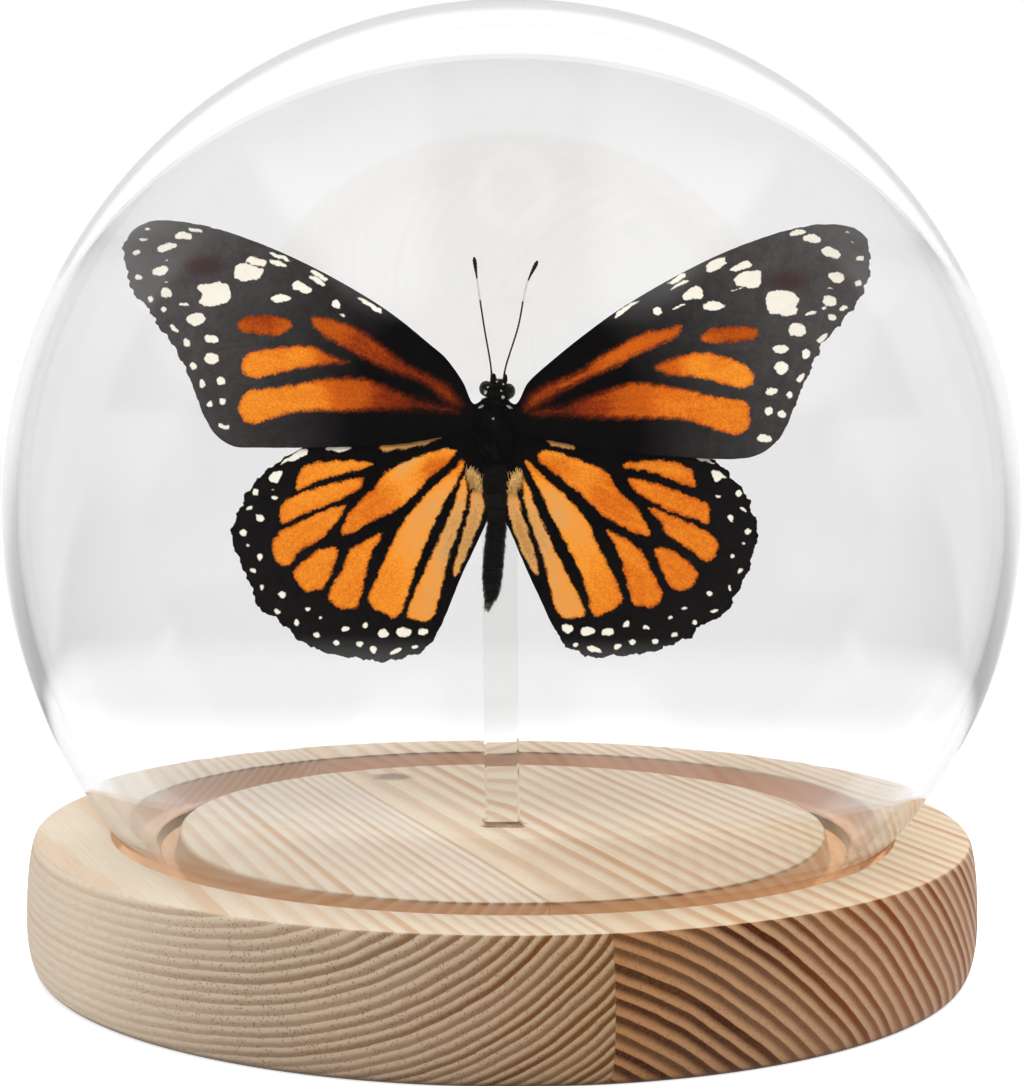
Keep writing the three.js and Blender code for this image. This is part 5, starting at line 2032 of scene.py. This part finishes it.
@dataclass(frozen=True)
class Studio:
    """A white sweep, soft lights and the camera.

    The floor's glow and the fill stand for the light that a white room sends back onto the part. The mirrored
    white sheet has the direction of its middle, and the two angles in degrees between which it fades.
    """

    eye: Place = (0.91, -334.2, 84.6)
    pitch: float = 0.0952
    roll: float = 0.007
    lens: float = 2653 / 1086 * 36
    backdrop: float = 1.0
    globe_middle: Place = (0.8, 0.0, 56.9)
    floor_reach: float = 6000.0
    sheet_aim: Place = (0, 0.893, 0.45)
    sheet_edge: Point = (31.3, 30.7)
    room_dark: float = 0.05
    fill: float = 0.85
    glow: float = 0.7

    def build(self, lit_by_front: bpy.types.Collection) -> None:
        """Builds the floor, the surroundings, the lights and the camera.

        Args:
            lit_by_front: the pieces that a snooted lamp beside the camera lights, and nothing else.
        """
        self.floor()
        self.surroundings()
        self.light("Key", (120, -330, 590), (0, 0, 50), 420, 2.2)
        self.light("Top", (0, 60, 700), (0, 0, 40), 420, 2.4)
        front = self.light("Butterfly light", (-120, -560, 330), (0, 0, 65), 260, 3.3)
        front.light_linking.receiver_collection = lit_by_front
        camera = placed("Camera", bpy.data.cameras.new("Camera"))
        ahead = Vector((0, math.cos(self.pitch), -math.sin(self.pitch)))
        level, upright = Vector((1, 0, 0)), Vector((0, math.sin(self.pitch), math.cos(self.pitch)))
        right = level * math.cos(self.roll) + upright * math.sin(self.roll)
        camera.matrix_world = Matrix((right, right.cross(ahead), -ahead)).transposed().to_4x4()
        camera.location = Vector(self.eye) * MM
        camera.data.lens = self.lens
        camera.data.sensor_width = 36
        camera.data.clip_start = 0.01
        camera.data.clip_end = 100
        scene = bpy.context.scene
        scene.camera = camera
        scene.view_settings.view_transform = "Standard"
        scene.cycles.caustics_reflective = False
        scene.cycles.caustics_refractive = True
        scene.cycles.max_bounces = 10
        scene.cycles.diffuse_bounces = 3
        scene.cycles.transmission_bounces = 10
        scene.cycles.transparent_max_bounces = 16

    def floor(self) -> None:
        """Lays a white floor that melts into the white surroundings away from the base."""
        mesh = bpy.data.meshes.new("floor")
        wide = self.floor_reach * MM
        corners = [(-wide, -wide, 0), (wide, -wide, 0), (wide, wide, 0), (-wide, wide, 0)]
        mesh.from_pydata(corners, [], [(0, 1, 2, 3)])
        floor = placed("floor", mesh)
        material, tree, shader = Coat("White floor").start()
        Coat.paint(tree, shader, (0.8, 0.8, 0.8, 1), 0.9, 0.0)
        shader.inputs["Emission Color"].default_value = (1, 1, 1, 1)
        mirrored, bounced = bounced_ray(tree, "Glossy"), bounced_ray(tree, "Diffuse")
        plug(tree, shader.inputs["Emission Strength"], self.glow * (1 - bounced))
        point = place(tree)
        away = distance(along(tree, point, (1, 0, 0)), along(tree, point, (0, 1, 0)))
        leave = vector(tree, "SUBTRACT", first=point, second=self.globe_middle)
        aim = vector(tree, "NORMALIZE", first=Wire(tree, leave.outputs[0]))
        room = self.mirrored_room(tree, Wire(tree, aim.outputs[0]))
        paper = room.math("MAXIMUM", away.smooth(130, 190, 1.1, 0))
        plain = tree.nodes.new("ShaderNodeEmission")
        plug(tree, plain.inputs["Strength"], mirrored * paper + (1 - mirrored))
        share = mirrored.math("MAXIMUM", away.smooth(80, 200)) * (1 - bounced)
        shaders_mixed(tree, share, shader, plain)
        mesh.materials.append(material)

    def mirrored_room(self, tree: Tree, way: Wire) -> Wire:
        """How bright the room is where the globe mirrors it.

        A ball mirrors each direction at one place on its front, and the room is laid out by those places:
        side is 0 in the middle and 1 at either edge, high is -1 to 1, and out is how far off the middle.

        Args:
            tree: the node tree.
            way: the direction that is mirrored.

        Returns:
            The brightness.
        """
        sight = (0.0, math.cos(self.pitch), -math.sin(self.pitch))
        parts = [along(tree, way, axis) - start for axis, start in zip(AXES, sight)]
        length = distance(*parts).math("MAXIMUM", 1e-3)
        side, high = (parts[0] / length).math("ABSOLUTE"), parts[2] / length
        out = distance(side, high)

        # A white sheet behind the globe, seen in the top of its wall.
        inner, outer = (math.cos(math.radians(angle)) for angle in self.sheet_edge)
        sheet = along(tree, way, self.sheet_aim).smooth(inner, outer) * out.smooth(0.978, 0.986, 1.22, 0.88)
        # Brighter and brighter bands towards the globe's outline.
        bands = out.smooth(0.79, 0.81) * 0.4 + out.smooth(0.9, 0.92) * 0.1 + out.smooth(0.93, 0.99) * 0.5
        bands = bands * high.smooth(0.45, 0.6, 1, 0.4) + side.smooth(0.45, 0.7) * 0.1
        # The ceiling to the left and right of a lamp, and the lamp's ring.
        span = (high - 0.55) * 0.9 + 0.36
        ceiling = side.smooth(0.1, 0.2) * (side - span).smooth(-0.04, 0.06, 1, 0) * high.smooth(0.4, 0.5)
        ceiling = ceiling * high.smooth(0.62, 0.8, 0.85, 0.35)
        ring = (distance(side, high - 0.66) - 0.06).math("ABSOLUTE")
        lamp = ring.smooth(0.0, 0.035, 0.4, 0)
        # Soft light from above that fades inwards, and pale walls at the left and right.
        slope = (out - 0.72).math("MAXIMUM", 0.0) * high.smooth(0.45, 0.6) * side.smooth(0.2, 0.45) * 2.6
        wall = side.smooth(0.56, 0.62) * high.smooth(0.22, 0.27, 1, 0) * high.smooth(-0.02, 0.2, 0, 0.5)
        # The white table in front, whose far edge bends up at the sides.
        edge = (side.math("MAXIMUM", 0.545) - 0.545) * 0.85 + side.smooth(0.48, 0.54, 0.16, 0)
        table = (high + 0.11 + edge).smooth(-0.06, 0.02, 1.1, 0)
        lit = (ceiling, lamp, slope, wall, bands, table, sheet)
        return functools.reduce(lambda a, b: a.math("MAXIMUM", b), lit).math("MAXIMUM", self.room_dark)

    def surroundings(self) -> None:
        """Makes the room: white where seen directly or through the glass, and lit in parts where mirrored."""
        world = bpy.data.worlds.new("Studio")
        bpy.context.scene.world = world
        world.use_nodes = True
        tree = world.node_tree
        coordinates = tree.nodes.new("ShaderNodeTexCoord")
        way = Wire(tree, coordinates.outputs["Generated"])
        shine = self.mirrored_room(tree, way)
        mirrored, bounced = bounced_ray(tree, "Glossy"), bounced_ray(tree, "Diffuse")
        seen = mirrored * shine + (1 - mirrored) * self.backdrop
        back = along(tree, way, (0, 1, 0))
        lighting = back.smooth(-0.9, 0.3, 0.3, 1.0) * self.fill
        strength = bounced * lighting + (1 - bounced) * seen
        plug(tree, tree.nodes["Background"].inputs["Strength"], strength)
        tree.nodes["Background"].inputs["Color"].default_value = (1, 1, 1, 1)

    def light(
        self, name: str, where: Sequence[float], aim: Sequence[float], size: float, power: float
    ) -> bpy.types.Object:
        """Adds a square soft light that only lights: it isn't seen, mirrored or seen through the glass.

        Args:
            name: the lamp's name.
            where: where it hangs, in millimetres.
            aim: what it points at.
            size: its width in millimetres.
            power: its power in watts.

        Returns:
            The lamp.
        """
        lamp = bpy.data.lights.new(name, "AREA")
        lamp.size = size * MM
        lamp.energy = power
        thing = placed(name, lamp)
        thing.location = Vector(where) * MM
        thing.rotation_euler = (Vector(aim) - Vector(where)).to_track_quat("-Z", "Y").to_euler()
        thing.visible_camera = False
        thing.visible_glossy = False
        thing.visible_transmission = False
        return thing


def main() -> None:
    """Builds the part, piece by piece, and the studio round it."""
    logging.basicConfig(level=logging.INFO, format="%(message)s")
    effects = Effects()
    PineBase().build(effects)
    Rod().build(effects)
    Butterfly().build(effects)
    Globe().build(effects)
    lit = bpy.data.collections.new("Lit by the front lamp")
    for thing in bpy.context.scene.objects:
        if thing.type == "MESH" and thing.get("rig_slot") in (Slot.WING.value, Slot.BODY.value):
            lit.objects.link(thing)
    Studio().build(lit)


if __name__ == "__main__":
    main()
